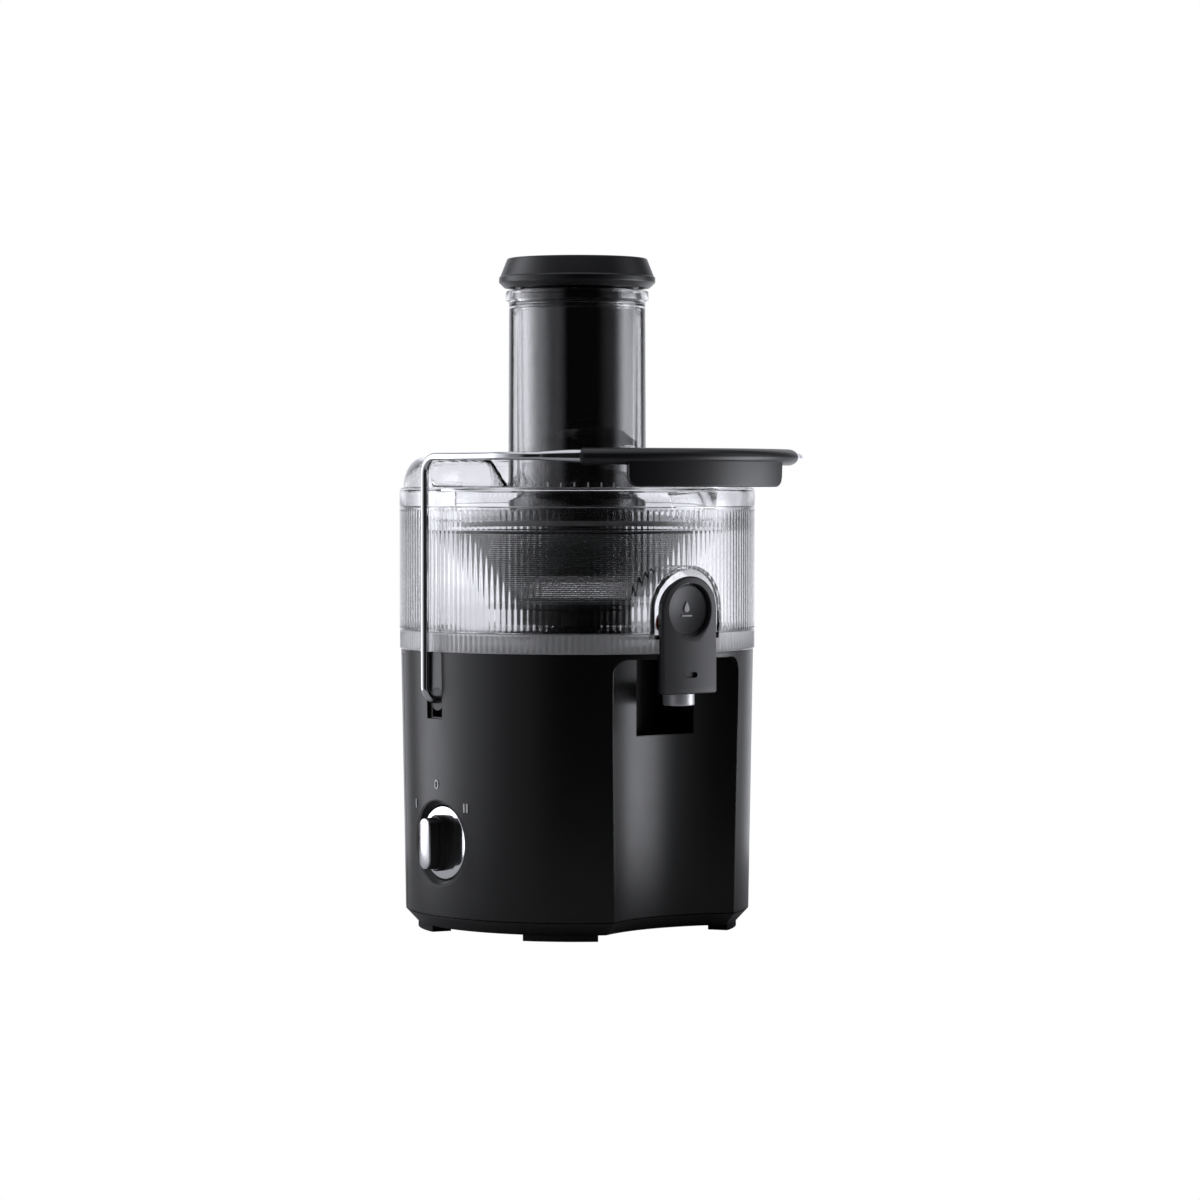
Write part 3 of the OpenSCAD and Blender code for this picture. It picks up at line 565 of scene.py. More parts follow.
def arch_prism(name, half_width, low, high, y_near, y_far):
    """The arch pushed from one y to another."""
    outline = arch(half_width, low, high)
    grid = np.stack([np.stack([outline[:, 0], np.full(len(outline), y), outline[:, 1]], -1)
                     for y in (y_near, y_far)])
    return skin(name, grid, close_cols=True, caps=True)


def wrap(outline, radius):
    """Lays (x, z) points on the front of a cylinder about the spin axis: y = -sqrt(radius^2 - x^2)."""
    return np.stack([outline[:, 0], -np.sqrt(radius ** 2 - outline[:, 0] ** 2), outline[:, 1]], -1)


def arch_shell(name, half_width, low, high, near_r, far_r, thickness):
    """A cup behind an arch: a side wall that follows the arch, and a back. Its four rows are the outer
    arch at the near and far radius and the inner arch at the far and near radius."""
    outer, inner = arch(half_width + thickness, low, high + thickness), arch(half_width, low, high)
    rows = [(outer, near_r), (outer, far_r - thickness), (inner, far_r), (inner, near_r)]
    points = np.vstack([wrap(outline, radius) for outline, radius in rows])
    n = len(outer)
    # the quads between the second and third row make way for a disc on each side of the back
    faces = [f for f in quads(4, n, True, True).tolist() if not (n <= min(f) and max(f) < 3 * n)]
    faces += [list(range(n, 2 * n)), list(range(2 * n, 3 * n))]
    return make_object(name, points, faces)


def facing_front(y, z, deep=1):
    """Stands a flat outline upright, facing forwards, from the plane y and round the height z."""
    return lambda p: np.stack([p[:, 0], y + deep * p[:, 2], p[:, 1] + z], -1)


cut(wall, arch_prism("knife", ALCOVE_HALF, FLOOR_Z, ALCOVE_TOP, -BOWL_R - 20 * MM, -BOWL_R + 30 * MM))
alcove = arch_shell("alcove", ALCOVE_HALF, FLOOR_Z, ALCOVE_TOP, BOWL_R - 0.4 * MM, ALCOVE_R, WALL)
cut(alcove, slab("valve_hole", circle(VALVE_HOLE_R, 40), [0, 20 * MM], [0, 0],
                 facing_front(-ALCOVE_R - 8 * MM, VALVE_Z)))
cut(foot, arch_prism("knife", SPOUT_HALF + SPOUT_GAP, BOWL_Z - 4 * MM, BOWL_Z + 90 * MM,
                     -BOWL_R - 20 * MM, -BOWL_R + 12 * MM))
cut(foot, arch_prism("knife", ALCOVE_HALF, FLOOR_Z, ALCOVE_TOP, -BOWL_R - 20 * MM, -BOWL_R + 30 * MM))

# %% Bowl floor
COLLAR_R = 33 * MM
FLOOR_R = BOWL_R - WALL - 1.5 * MM
floor_outline = fillet([(COLLAR_R + 2.5 * MM, FLOOR_Z - 6 * MM), (COLLAR_R + 2.5 * MM, FLOOR_Z),
                        (FLOOR_R, FLOOR_Z), (FLOOR_R, FLOOR_Z + 2 * MM),
                        (COLLAR_R + 5 * MM, FLOOR_Z + 2 * MM), (COLLAR_R + 2.5 * MM, FLOOR_Z + 5 * MM),
                        (COLLAR_R + 2 * MM, FLOOR_Z + 12 * MM), (COLLAR_R, FLOOR_Z + 12 * MM),
                        (COLLAR_R, FLOOR_Z - 6 * MM)], 0.8 * MM, 3)
bowl_floor = revolve("floor", floor_outline, 128)
cut(bowl_floor, arch_prism("knife", SPOUT_HALF + SPOUT_GAP, BOWL_Z - 4 * MM, BOWL_Z + 60 * MM,
                           -BOWL_R - 20 * MM, -ALCOVE_R - 0.5 * MM))


# %% Pulp shaft
def from_front(degrees):
    """The polar angle of a direction given in degrees from the front, round to the left side."""
    return -math.pi / 2 - math.radians(degrees)


PULP_IN = BOX["basket_rim"][1].x + 4.8 * MM
PULP_LOW, PULP_TOP = BOWL_Z + 0.2 * MM, BOWL_TOP - 15.5 * MM
PULP_FROM, PULP_TO = 126, 190
SIDE_WALL_HALF = 0.011


pulp_wall = revolve("pulp_wall", upright(PULP_IN - WALL, PULP_IN, PULP_LOW, PULP_TOP, 0.6 * MM), 60,
                    turn=(from_front(PULP_TO), from_front(PULP_FROM)))
side_outline = upright(PULP_IN - WALL / 2, BOWL_R - WALL - 0.1 * MM, PULP_LOW, PULP_TOP, 0.6 * MM)
side_walls = []
for degrees in (PULP_FROM - 0.6, PULP_TO + 0.6):
    ends = from_front(degrees) - SIDE_WALL_HALF, from_front(degrees) + SIDE_WALL_HALF
    side_walls.append(revolve(f"side_{degrees}", side_outline, 3, turn=ends))
collector = join("collector_bowl", [wall, alcove, bowl_floor, pulp_wall] + side_walls)
dress(collector, CLEAR_BOWL, "collector", "clear_plastic", "juice_collector")
foot.name = foot.data.name = "collector_band"
dress(foot, FROSTED, "collector", "clear_plastic", "juice_collector")

# %% [markdown]
# ## Lid and feed chute
# The lid's rim carries on the line of the bowl. Its skirt reaches down inside the bowl, a raised
# dome at the back leads the pulp away, and the chute is two clear tubes, one inside the other,
# which is why it shows bright edges on both sides of the black pusher.

# %% Lid
lid_low, lid_high = BOX["lid"]
LID_Z = BOWL_TOP + 0.2 * MM
LID_TOP = LID_Z + 12.3 * MM
SKIRT_R = BOWL_R - WALL - 0.5 * MM
CHUTE_R = 37.5 * MM
TUBE_R = CHUTE_R + 7 * MM
RIM_TOP = lid_high.z
INNER_TOP = RIM_TOP - 8.8 * MM
CHUTE_END = lid_low.z

cover_outline = fillet([(BOWL_R, LID_Z), (BOWL_R, LID_TOP), (TUBE_R - 1 * MM, LID_TOP),
                        (TUBE_R - 1 * MM, LID_TOP - WALL), (SKIRT_R - WALL, LID_TOP - WALL),
                        (SKIRT_R - WALL, LID_Z - 15 * MM), (SKIRT_R, LID_Z - 15 * MM), (SKIRT_R, LID_Z)],
                       np.array([0.5, 3.2, 0.5, 0.5, 1.6, 0.6, 0.6, 0.4]) * MM, 6)
cover = revolve("cover", cover_outline, 240)
LEDGE_R = BOX["basket_rim"][1].x + 3.8 * MM
ledge_outline = upright(LEDGE_R, LEDGE_R + WALL, LID_Z - 11 * MM, LID_TOP - WALL + 0.4 * MM, 0.5 * MM)
ledge = revolve("ledge", ledge_outline, 140, turn=(from_front(96), from_front(-96)))

# %% Pulp dome
DOME_IN, DOME_OUT = TUBE_R + 9 * MM, BOWL_R - 2.5 * MM
DOME_H = 20 * MM
DOME_ENDS = math.radians(91.2)
SLOPE_OUT, SLOPE_IN, SLOPE_BULGE = 15 * MM, 6 * MM, 2.2
RAMP_START, RAMP_RISE = 2 * MM, 1 / 1.1
SOFT_WIDTH = 2.5 * MM


def slope(distance, width):
    """A rounded rise from 0 to 1 over a width: sqrt(1 - (1 - distance / width)^2.2)."""
    return np.sqrt(1 - np.clip(1 - distance / width, 0, 1) ** SLOPE_BULGE)


def dome_surface(inset, rows=96, cols=26):
    """The dome as a height over the lid. Across it the crown rises over a slope from either edge;
    from its front ends a ramp rises with y. The height is the smooth minimum of the two."""
    phi = np.linspace(-DOME_ENDS, DOME_ENDS, rows)[:, None] + math.pi / 2
    across = 0.5 - 0.5 * np.cos(math.pi * np.linspace(0, 1, cols)[None, :])
    inner, outer = DOME_IN + inset, DOME_OUT - inset
    radius = inner + (outer - inner) * across
    top = DOME_H - inset
    crown = top * np.minimum(slope(outer - radius, SLOPE_OUT), slope(radius - inner, SLOPE_IN))
    y = radius * np.sin(phi)
    ramp = np.clip((y - inset - RAMP_START) * RAMP_RISE, 0, top * 1.5)
    mix = np.clip(0.5 + 0.5 * (ramp - crown) / SOFT_WIDTH, 0, 1)
    height = np.clip(ramp * (1 - mix) + crown * mix - SOFT_WIDTH * mix * (1 - mix), 0, top)
    return np.stack([radius * np.cos(phi), y, LID_TOP - 0.3 * MM + height], -1)


def close_holes(obj):
    """Fills every open edge loop of a mesh and turns its normals outwards again."""
    bm = bmesh.new()
    bm.from_mesh(obj.data)
    bmesh.ops.holes_fill(bm, edges=bm.edges, sides=0)
    bmesh.ops.recalc_face_normals(bm, faces=bm.faces)
    bm.to_mesh(obj.data)
    bm.free()
    return obj


def closed_dome():
    """Outer and inner dome surfaces joined along their edges into one closed wall."""
    outer, inner = dome_surface(0), dome_surface(WALL)
    inner[..., 2] -= 0.6 * MM
    shell = np.concatenate([outer, inner[:, ::-1]], axis=1)
    return close_holes(skin("dome", shell, close_cols=True, sharp=50))


dome = closed_dome()

# %% Chute tubes
tubes = fillet([(TUBE_R, LID_TOP - 11 * MM), (TUBE_R - 0.6 * MM, RIM_TOP - 7.5 * MM),
                (TUBE_R + 1.5 * MM, RIM_TOP - 6 * MM), (TUBE_R + 1.5 * MM, RIM_TOP),
                (TUBE_R - WALL, RIM_TOP), (TUBE_R - WALL, INNER_TOP),
                (CHUTE_R, INNER_TOP), (CHUTE_R, CHUTE_END), (CHUTE_R + 2 * MM, CHUTE_END),
                (CHUTE_R + 2 * MM, INNER_TOP - WALL), (TUBE_R - WALL, INNER_TOP - WALL),
                (TUBE_R - WALL, LID_TOP - 11 * MM)],
               np.array([0.5, 2, 0.8, 1, 1, 0.6, 1, 0.7, 0.7, 0.8, 0.8, 0.5]) * MM, 4)
chute = revolve("chute", tubes, 160)
web_outline = upright(CHUTE_R + 1.9 * MM, TUBE_R - WALL + 0.1 * MM, LID_TOP - WALL, LID_TOP, 0.3 * MM)
web = revolve("web", web_outline, 128)

# %% [markdown]
# A ring of small upright ribs stands around the foot of the chute. One rib is a little rounded
# block; a loop repeats it every ten degrees.

# %% Ribs around the chute's foot
FOOT_RIBS, FOOT_RIB_R = 36, 0.55 * MM
FOOT_RIB_RING, RIB_TAPER = TUBE_R + 5.2 * MM, np.array([1, 1, 1, 0.5])
foot_ribs = []
for k in range(FOOT_RIBS):
    a = 2 * math.pi * k / FOOT_RIBS
    x, y = FOOT_RIB_RING * math.cos(a), FOOT_RIB_RING * math.sin(a)
    path = [(x, y, LID_TOP + z * MM) for z in (-0.2, 0.4, 2.4, 2.9)]
    foot_ribs.append(carry(f"rib_{k}", path, circle(FOOT_RIB_R, 8), (1, 0.3, 0), scale=RIB_TAPER))
dress(join("clear_lid", [cover, ledge, dome, chute, web]), CLEAR_LID, "lid_assembly", "clear_plastic", "lid")
dress(join("lid_ribs", foot_ribs), FROSTED, "lid_assembly", "clear_plastic", "lid")

# %% [markdown]
# ## Pusher
# A hollow black beaker with a flange that sits on the inner tube, and a broad chamfered cap.

# %% Pusher body
body_low, body_high = BOX["pusher_body"]
FLANGE_R = TUBE_R - WALL - 0.6 * MM
PUSHER_R = CHUTE_R - 0.7 * MM
cap_low, cap_high = BOX["pusher_cap"]
FLANGE_LOW = INNER_TOP + 0.3 * MM
FLANGE_TOP = FLANGE_LOW + 6 * MM
PUSHER_WALL = 2.5 * MM
body_outline = fillet([(AXIS, body_low.z), (PUSHER_R, body_low.z), (PUSHER_R, FLANGE_LOW),
                       (FLANGE_R, FLANGE_LOW), (FLANGE_R, FLANGE_TOP), (PUSHER_R, FLANGE_TOP),
                       (PUSHER_R, body_high.z), (PUSHER_R - PUSHER_WALL, body_high.z),
                       (PUSHER_R - PUSHER_WALL, body_low.z + PUSHER_WALL), (AXIS, body_low.z + PUSHER_WALL)],
                      np.array([0, 3, 0.6, 1, 1, 0.6, 0.4, 0.4, 2, 0]) * MM, 6)
pusher = revolve("pusher_tube", body_outline, 160)
dress(pusher, PUSHER_BLACK, "pusher", "pusher_black", "pusher_body")

# %% Pusher cap
CAP_R, CAP_Z = cap_high.x, cap_low.z
CAP_TOP_R = CHUTE_R + 7.4 * MM
SOCKET_R, SOCKET_TOP = PUSHER_R + 0.05 * MM, CAP_Z + 4 * MM
GROOVE_IN, GROOVE_OUT, GROOVE_TOP = PUSHER_R + 3 * MM, CAP_R - 6.5 * MM, CAP_Z + 3 * MM
cap_outline = fillet([(AXIS, CAP_Z + 5.1 * MM), (PUSHER_R - 0.6 * MM, CAP_Z + 5.1 * MM),
                      (SOCKET_R, SOCKET_TOP), (SOCKET_R, CAP_Z), (GROOVE_IN, CAP_Z), (GROOVE_IN, GROOVE_TOP),
                      (GROOVE_OUT, GROOVE_TOP), (GROOVE_OUT, CAP_Z), (CAP_R - 3.6 * MM, CAP_Z),
                      (CAP_R, CAP_Z + 3.4 * MM), (CAP_R, CAP_Z + 6.6 * MM),
                      (CAP_R - 0.8 * MM, CAP_Z + 7.4 * MM), (CAP_TOP_R, cap_high.z), (AXIS, cap_high.z)],
                     np.array([0, 0.4, 0.3, 0.4, 0.4, 0.6, 0.6, 0.8, 0.8, 1.2, 0.5, 0.5, 1.6, 0]) * MM, 7)
cap = revolve("pusher_lid", cap_outline, 192, sharp=38)
dress(cap, CAP_BLACK, "pusher", "black_housing", "pusher_cap")

# %% [markdown]
# ## Filter basket
# Seen through the ribs: a dark moulded rim, a cone of fine etched sheet and a dark hub. The cone's
# UV map counts holes around and down, so that the pattern stays on the sheet as it spins.

# %% Cone
cone_low, cone_high = BOX["filter_cone"]
HUB_R = BOX["basket_hub"][1].x
CONE_TOP_R = cone_high.x
HOLES_AROUND, HOLES_DOWN = 240, 34


def etched_cone(rows=24, around=192):
    """One sheet: radius and height both go evenly from the hub to the rim. In the UV map u counts
    holes around and v counts them down."""
    t = np.linspace(0, 1, rows)[:, None]
    angle = np.linspace(0, 2 * math.pi, around + 1)[None, :]
    radius = HUB_R + (CONE_TOP_R - HUB_R) * t - 0.4 * MM
    height = cone_low.z + (cone_high.z - cone_low.z) * t * np.ones_like(angle)
    grid = np.stack([radius * np.cos(angle), radius * np.sin(angle), height], -1)
    mesh = bpy.data.meshes.new("filter_mesh")
    mesh.from_pydata(grid.reshape(-1, 3).tolist(), [], quads(rows, around + 1, False, False).tolist())
    u, v = np.broadcast_arrays(angle / (2 * math.pi) * HOLES_AROUND, t * HOLES_DOWN)
    uv = np.stack([u, v], -1).reshape(-1, 2)
    corner = np.zeros(len(mesh.loops), np.int32)
    mesh.loops.foreach_get("vertex_index", corner)
    mesh.uv_layers.new(name="holes").data.foreach_set("uv", uv[corner].astype(np.float32).ravel())
    mesh.polygons.foreach_set("use_smooth", np.ones(len(mesh.polygons), bool))
    sheet = bpy.data.objects.new("filter_mesh", mesh)
    bpy.context.scene.collection.objects.link(sheet)
    return sheet


dress(etched_cone(), FILTER, "basket", "steel", "filter_cone")

# %% Rim and hub
rim_low, rim_high = BOX["basket_rim"]
RIM_IN, RIM_R = CONE_TOP_R - 1.2 * MM, rim_high.x
rim_outline = fillet([(RIM_IN, rim_low.z), (RIM_R, rim_low.z), (RIM_R, rim_low.z + 1.4 * MM),
                      (RIM_R - 1.2 * MM, rim_low.z + 1.4 * MM), (RIM_R - 1.2 * MM, rim_high.z),
                      (RIM_IN, rim_high.z)], 0.5 * MM, 4)
dress(revolve("basket_ring", rim_outline, 192), HUB_BLACK, "basket", "black_trim", "basket_rim")

hub_low, hub_high = BOX["basket_hub"]
BORE_R, COLLAR_OUT, SKIRT_IN, SKIRT_OUT = 16.2 * MM, 22 * MM, 38 * MM, 40.5 * MM
HUB_TOP, PLATE_LOW, SKIRT_LOW = hub_high.z, hub_high.z - 4 * MM, hub_high.z - 14 * MM
hub_outline = fillet([(BORE_R, hub_low.z), (COLLAR_OUT, hub_low.z), (COLLAR_OUT, HUB_TOP - 6 * MM),
                      (SKIRT_IN, PLATE_LOW), (SKIRT_IN, SKIRT_LOW), (SKIRT_OUT, SKIRT_LOW),
                      (SKIRT_OUT, PLATE_LOW), (HUB_R, PLATE_LOW), (HUB_R, HUB_TOP), (AXIS, HUB_TOP),
                      (AXIS, HUB_TOP - 3.2 * MM), (BORE_R, HUB_TOP - 3.2 * MM)],
                     np.array([0.6, 1, 1, 0.5, 0.5, 0.5, 0.5, 1, 1, 0, 0, 1]) * MM, 4)
dress(revolve("basket_base", hub_outline, 128), HUB_BLACK, "basket", "black_trim", "basket_hub")

# %% [markdown]
# ## Bail
# The bail is one chrome wire with soft bends: up from each pivot, forward along the lid and in
# towards the grip, where it thickens into a ferrule. The centreline is made of straight runs and
# arcs in formulas, and a circle is carried along it.

# %% Wire
wire_low, wire_high = BOX["bail_wire"]
grip_low, grip_high = BOX["bail_grip"]
WIRE_R = 2.5 * MM
ARM_X = wire_high.x - WIRE_R
PIVOT_Z = wire_low.z + WIRE_R
PIVOT_Y = 1.5 * MM
BAIL_Z = grip_high.z - 5 * MM
GRIP_ANGLE = math.radians(36.5)
GRIP_R = -grip_low.y - 7 * MM
PIN_END = 105.5 * MM
LOW_BEND, TOP_BEND, SIDE_BEND = 9 * MM, 11 * MM, 34 * MM


def arc(centre, start, end, radius, first, second, n=14):
    """Points on an arc: centre + radius * (cos t * first + sin t * second)."""
    t = np.linspace(start, end, n)[:, None]
    return np.asarray(centre) + radius * (np.cos(t) * np.asarray(first) + np.sin(t) * np.asarray(second))


def wire_path(side):
    """Centreline on one side: pin, low bend, upright arm, top bend, side run, side bend, end run."""
    x, y, z = np.eye(3)
    pin = np.array([[PIN_END, PIVOT_Y, PIVOT_Z]])
    low = arc((ARM_X - LOW_BEND, PIVOT_Y, PIVOT_Z + LOW_BEND), -math.pi / 2, 0, LOW_BEND, x, z)
    top = arc((ARM_X, PIVOT_Y - TOP_BEND, BAIL_Z - TOP_BEND), 0, math.pi / 2, TOP_BEND, y, z)
    end = np.array([GRIP_R * math.sin(GRIP_ANGLE), -GRIP_R * math.cos(GRIP_ANGLE), BAIL_Z])
    run = (ARM_X - end[0]) / math.cos(GRIP_ANGLE)
    corner = end + run * np.array([math.cos(GRIP_ANGLE), math.sin(GRIP_ANGLE), 0])
    turn = math.pi / 2 - GRIP_ANGLE
    back = SIDE_BEND * math.tan(turn / 2)
    bend = arc((ARM_X - SIDE_BEND, corner[1] + back, BAIL_Z), 0, -turn, SIDE_BEND, x, y, 20)
    run_in = end + np.linspace(1, 0, 10)[:, None] * (bend[-1] - end)
    path = np.vstack([pin, low, np.linspace(low[-1], top[0], 8)[1:-1], top,
                      np.linspace(top[-1], bend[0], 8)[1:-1], bend, run_in[1:]])
    return path * [side, 1, 1]


FERRULE_R = 4 * MM
ferrule_at = np.array([0, 0.3, 6, 13, 20, 25.5, 26.2]) * MM
ferrule_size = np.array([3.7, 4.0, 4.0, 3.7, 3.2, 2.75, 2.52]) / 4.0
wires, ferrules = [], []
for side in (-1, 1):
    path = wire_path(side)
    wires.append(carry(f"wire_{side}", path, circle(WIRE_R, 28), (side * 0.5, 0.6, 0.62), sharp=60))
    end, ahead = path[-1], path[-2] - path[-1]
    ahead = ahead / np.linalg.norm(ahead)
    ferrules.append(carry(f"ferrule_{side}", end + ferrule_at[:, None] * ahead, circle(FERRULE_R, 28),
                          (0, 0, 1), sharp=50, scale=ferrule_size))
dress(join("bail_rod", wires), CHROME, "bail", "chrome", "bail_wire")
dress(join("bail_sleeves", ferrules), CHROME, "bail", "chrome", "bail_ferrules")

# %% [markdown]
# ## Grip
# The grip is a bowed oval bar with a deep web under its middle. Both are outlines laid along the
# same arc; the web's depth changes along it, following a quarter circle at each end.

# %% Grip
BAR_OUT, BAR_UP, BAR_TIP = 6.8 * MM, 5.2 * MM, 1.2 * MM
BAR_REACH = GRIP_ANGLE + 0.008
WEB_DEPTH, WEB_EDGE, WEB_CORNER = 19 * MM, math.radians(25.3), 7 * MM


def along_arc(section, phi):
    """Lays cross-sections of (outwards, up) points along the grip's arc: the radius is the arc's own
    plus the first coordinate, the height is the bail's plus the second."""
    radius = GRIP_R + section[..., 0]
    along = phi[:, None]
    return np.stack([radius * np.sin(along), -radius * np.cos(along), BAIL_Z + section[..., 1]], -1)


def bar_surface(rows=120):
    """An oval bar. Its section is an ellipse, drawn in by a tenth over the tips along a quarter circle."""
    phi = np.linspace(-BAR_REACH, BAR_REACH, rows)
    tip = np.clip((BAR_REACH - np.abs(phi)) * GRIP_R / BAR_TIP, 0, 1)
    size = 0.9 + 0.1 * np.sqrt(1 - (1 - tip) ** 2)
    return along_arc([0, -0.2 * MM] + circle(1, 36) * [BAR_OUT, BAR_UP] * size[:, None, None], phi)


def skirt_surface(rows=160):
    """A web under the bar. Its foot drops along a quarter circle at each end."""
    phi = np.linspace(-WEB_EDGE, WEB_EDGE, rows)
    near = np.clip(1 - (WEB_EDGE - np.abs(phi)) * GRIP_R / WEB_CORNER, 0, 1)
    depth = WEB_DEPTH - WEB_CORNER * (1 - np.sqrt(1 - near ** 2)) * 0.8
    web = fillet([(5.6 * MM, 0), (5.2 * MM, -WEB_DEPTH), (-1.5 * MM, -WEB_DEPTH), (-2.2 * MM, 0)],
                 np.array([0, 1.4, 1.4, 0]) * MM, 6)
    section = np.repeat(web[None], rows, 0)
    section[..., 1] *= (depth / WEB_DEPTH)[:, None]
    return along_arc(section, phi)


grip = join("grip_bar", [skin("bar", bar_surface(), close_cols=True, caps=True, sharp=42),
                         skin("skirt", skirt_surface(), close_cols=True, caps=True, sharp=42)])
dress(grip, GRIP_GREY, "bail", "grey_plastic", "bail_grip")

# %% [markdown]
# ## Spout
# The spout cover is a curved plate with a round top. Its face is a grid over the arch: rings drawn
# in from the outline, laid on a cylinder about the axis. The button sits in a round dish in it.

# %% Spout cover
cover_low, cover_high = BOX["spout_cover"]
COVER_R = -cover_low.y
COVER_Z, COVER_TOP = cover_low.z, cover_high.z
BUTTON_Z = (BOX["drip_button"][0].z + BOX["drip_button"][1].z) / 2
BUTTON_R = BOX["drip_button"][1].x


def rounded_arch(half_width, low, high, foot_r, n=28):
    """The arch outline with small rounded corners at its foot, evenly dense along its sides."""
    top = arch(half_width, low, high, n)[:n]
    up = np.linspace(0.05, 0.95, 10)[:, None]
    left_foot, right_foot = np.array([-half_width, low + foot_r]), np.array([half_width, low + foot_r])
    left = top[-1] + up * (left_foot - top[-1])
    right = right_foot + up * (top[0] - right_foot)
    a = np.linspace(math.pi, 1.5 * math.pi, 5)[:, None]
    low_left = left_foot + [foot_r, 0] + foot_r * np.hstack([np.cos(a), np.sin(a)])
    low_right = right_foot - [foot_r, 0] + foot_r * np.hstack([-np.sin(a), np.cos(a)])
    base = np.linspace(0.1, 0.9, 7)[:, None] * (low_right[0] - low_left[-1]) + low_left[-1]
    return np.vstack([top, left, low_left, base, low_right, right])


def cover_plate():
    """Front face, rounded edge and back of the cover. Rows of (outline, radius) go from the button's
    sleeve over the face out to the edge, over a quarter-round and along the back."""
    outline = rounded_arch(SPOUT_HALF, COVER_Z, COVER_TOP, 1.6 * MM)
    hub = np.array([0, BUTTON_Z])
    outwards = (outline - hub) / np.linalg.norm(outline - hub, axis=1)[:, None]
    edge, back_r, sleeve_r = 1.1 * MM, COVER_R - 2.8 * MM, COVER_R - 6.7 * MM
    inset = outline - outwards * edge

    def ring(gap):
        return hub + outwards * (BUTTON_R + gap * MM)

    rows = [(ring(0.5), sleeve_r), (ring(0.5), COVER_R - 0.7 * MM), (ring(0.75), COVER_R - 0.2 * MM),
            (ring(1.2), COVER_R)]
    rows += [(ring(1.2) + (inset - ring(1.2)) * s, COVER_R) for s in np.linspace(0.1, 1, 9)]
    rows += [(inset + (outline - inset) * math.sin(a), COVER_R - edge * (1 - math.cos(a)))
             for a in np.linspace(0, math.pi / 2, 6)[1:]]
    rows += [(outline, back_r), (ring(2.6), back_r), (ring(2.6), sleeve_r)]
    grid = np.stack([wrap(points, radius) for points, radius in rows])
    return skin("spout_face", grid, close_rows=True, close_cols=True, sharp=42)


face = cover_plate()
SLOT_Z, SLOT_L, SLOT_W = COVER_Z + 12 * MM, 9.4 * MM, 3.6 * MM
cut(face, slab("slot_knife", stadium(SLOT_L, SLOT_W)[:, ::-1], [0, 4 * MM], [0, 0],
               facing_front(-COVER_R + 2.3 * MM, SLOT_Z, -1)))
duct_outline = rounded_arch(SPOUT_HALF - 3 * MM, COVER_Z + 0.4 * MM, COVER_TOP - 2 * MM, 1 * MM)
duct = skin("duct", np.stack([wrap(duct_outline, COVER_R - deep * MM) for deep in (2.9, 8)]),
            close_cols=True, caps=True)
cut(duct, slab("knife", circle(BUTTON_R + 0.5 * MM, 48), [0, 16.5 * MM], [0, 0],
               facing_front(-COVER_R - 5 * MM, BUTTON_Z)))
dress(join("spout_shell", [face, duct]), SPOUT_GREY, "collector", "grey_plastic", "spout_cover")

# %% Nozzle
nozzle_low, nozzle_high = BOX["spout_nozzle"]
NOZZLE_R, NOZZLE_WALL = nozzle_high.x, 2.5 * MM
NOZZLE_ROUND = np.array([0.8, 1.2, 0.4, 0.4]) * MM
nozzle = revolve("nozzle_tube", upright(NOZZLE_R - NOZZLE_WALL, NOZZLE_R, nozzle_low.z, nozzle_high.z,
                                        NOZZLE_ROUND, 6), 96)
nozzle.data.transform(Matrix.Translation((0, (nozzle_low.y + nozzle_high.y) / 2, 0)))
dress(nozzle, SILVER_PAINT, "collector", "chrome", "spout_nozzle")

# %% Button
BUTTON_FRONT = BOX["drip_button"][0].y
DISH_EDGE, DISH_DEPTH = 0.82, 1.25


def button_surface():
    """A shallow dish with a rounded lip: rings of growing radius. Inside the dish's edge the depth is
    DISH_DEPTH * (1 - (radius / edge)^2) + 0.25 mm; the lip, side and back follow ring by ring."""
    dish = np.linspace(0.02, DISH_EDGE, 12)
    dish_depth = DISH_DEPTH * (1 - (dish / DISH_EDGE) ** 2) + 0.25
    radius = np.hstack([dish, np.linspace(0.85, 0.96, 5), 0.985, 1, 1, 1, 0.98, 0.02])[:, None] * BUTTON_R
    depth = np.hstack([dish_depth, 0.2, 0.12, 0.05, 0, 0, 0.15, 0.5, 2.5, 4.6, 5, 5])[:, None] * MM
    t = np.linspace(0, 2 * math.pi, 72, endpoint=False)[None, :]
    y = BUTTON_FRONT + depth * np.ones_like(t)
    return np.stack([radius * np.cos(t), y, BUTTON_Z + radius * np.sin(t)], -1)


button = skin("stop_button", button_surface(), close_cols=True, caps=True, sharp=50)
dress(button, SPOUT_GREY, "drip_stop", "grey_plastic", "drip_button")

# %% Button spring
spring_low, spring_high = BOX["button_spring"]
SPRING_Z = (spring_low.z + spring_high.z) / 2
SPRING_TURNS, COIL_INSET, COIL_WIRE_R = 4.5, 0.5 * MM, 0.45 * MM
turns = np.linspace(0, SPRING_TURNS * 2 * math.pi, 160)
coil_r = (spring_high.x - spring_low.x) / 2 - COIL_INSET
coil_y = np.linspace(spring_low.y + COIL_INSET, spring_high.y - COIL_INSET, len(turns))
spring_path = np.stack([coil_r * np.cos(turns), coil_y, SPRING_Z + coil_r * np.sin(turns)], -1)
spring = carry("return_spring", spring_path, circle(COIL_WIRE_R, 8), (0, 1, 0), sharp=60)
dress(spring, STEEL, "collector", "steel", "button_spring")
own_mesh(spring)

# %% [markdown]
# ## Speed knob
# A silver disc turns in a black dish; across it stands a black bar with a silver face. Disc and
# dish are outlines carried round the knob's own axis, the bar is a rounded slab.

# %% Knob
KNOB_Z = (BOX["knob_disc"][0].z + BOX["knob_disc"][1].z) / 2
disc_low, disc_high = BOX["knob_disc"]
DISC_X, DISC_R = disc_low.x, disc_high.y


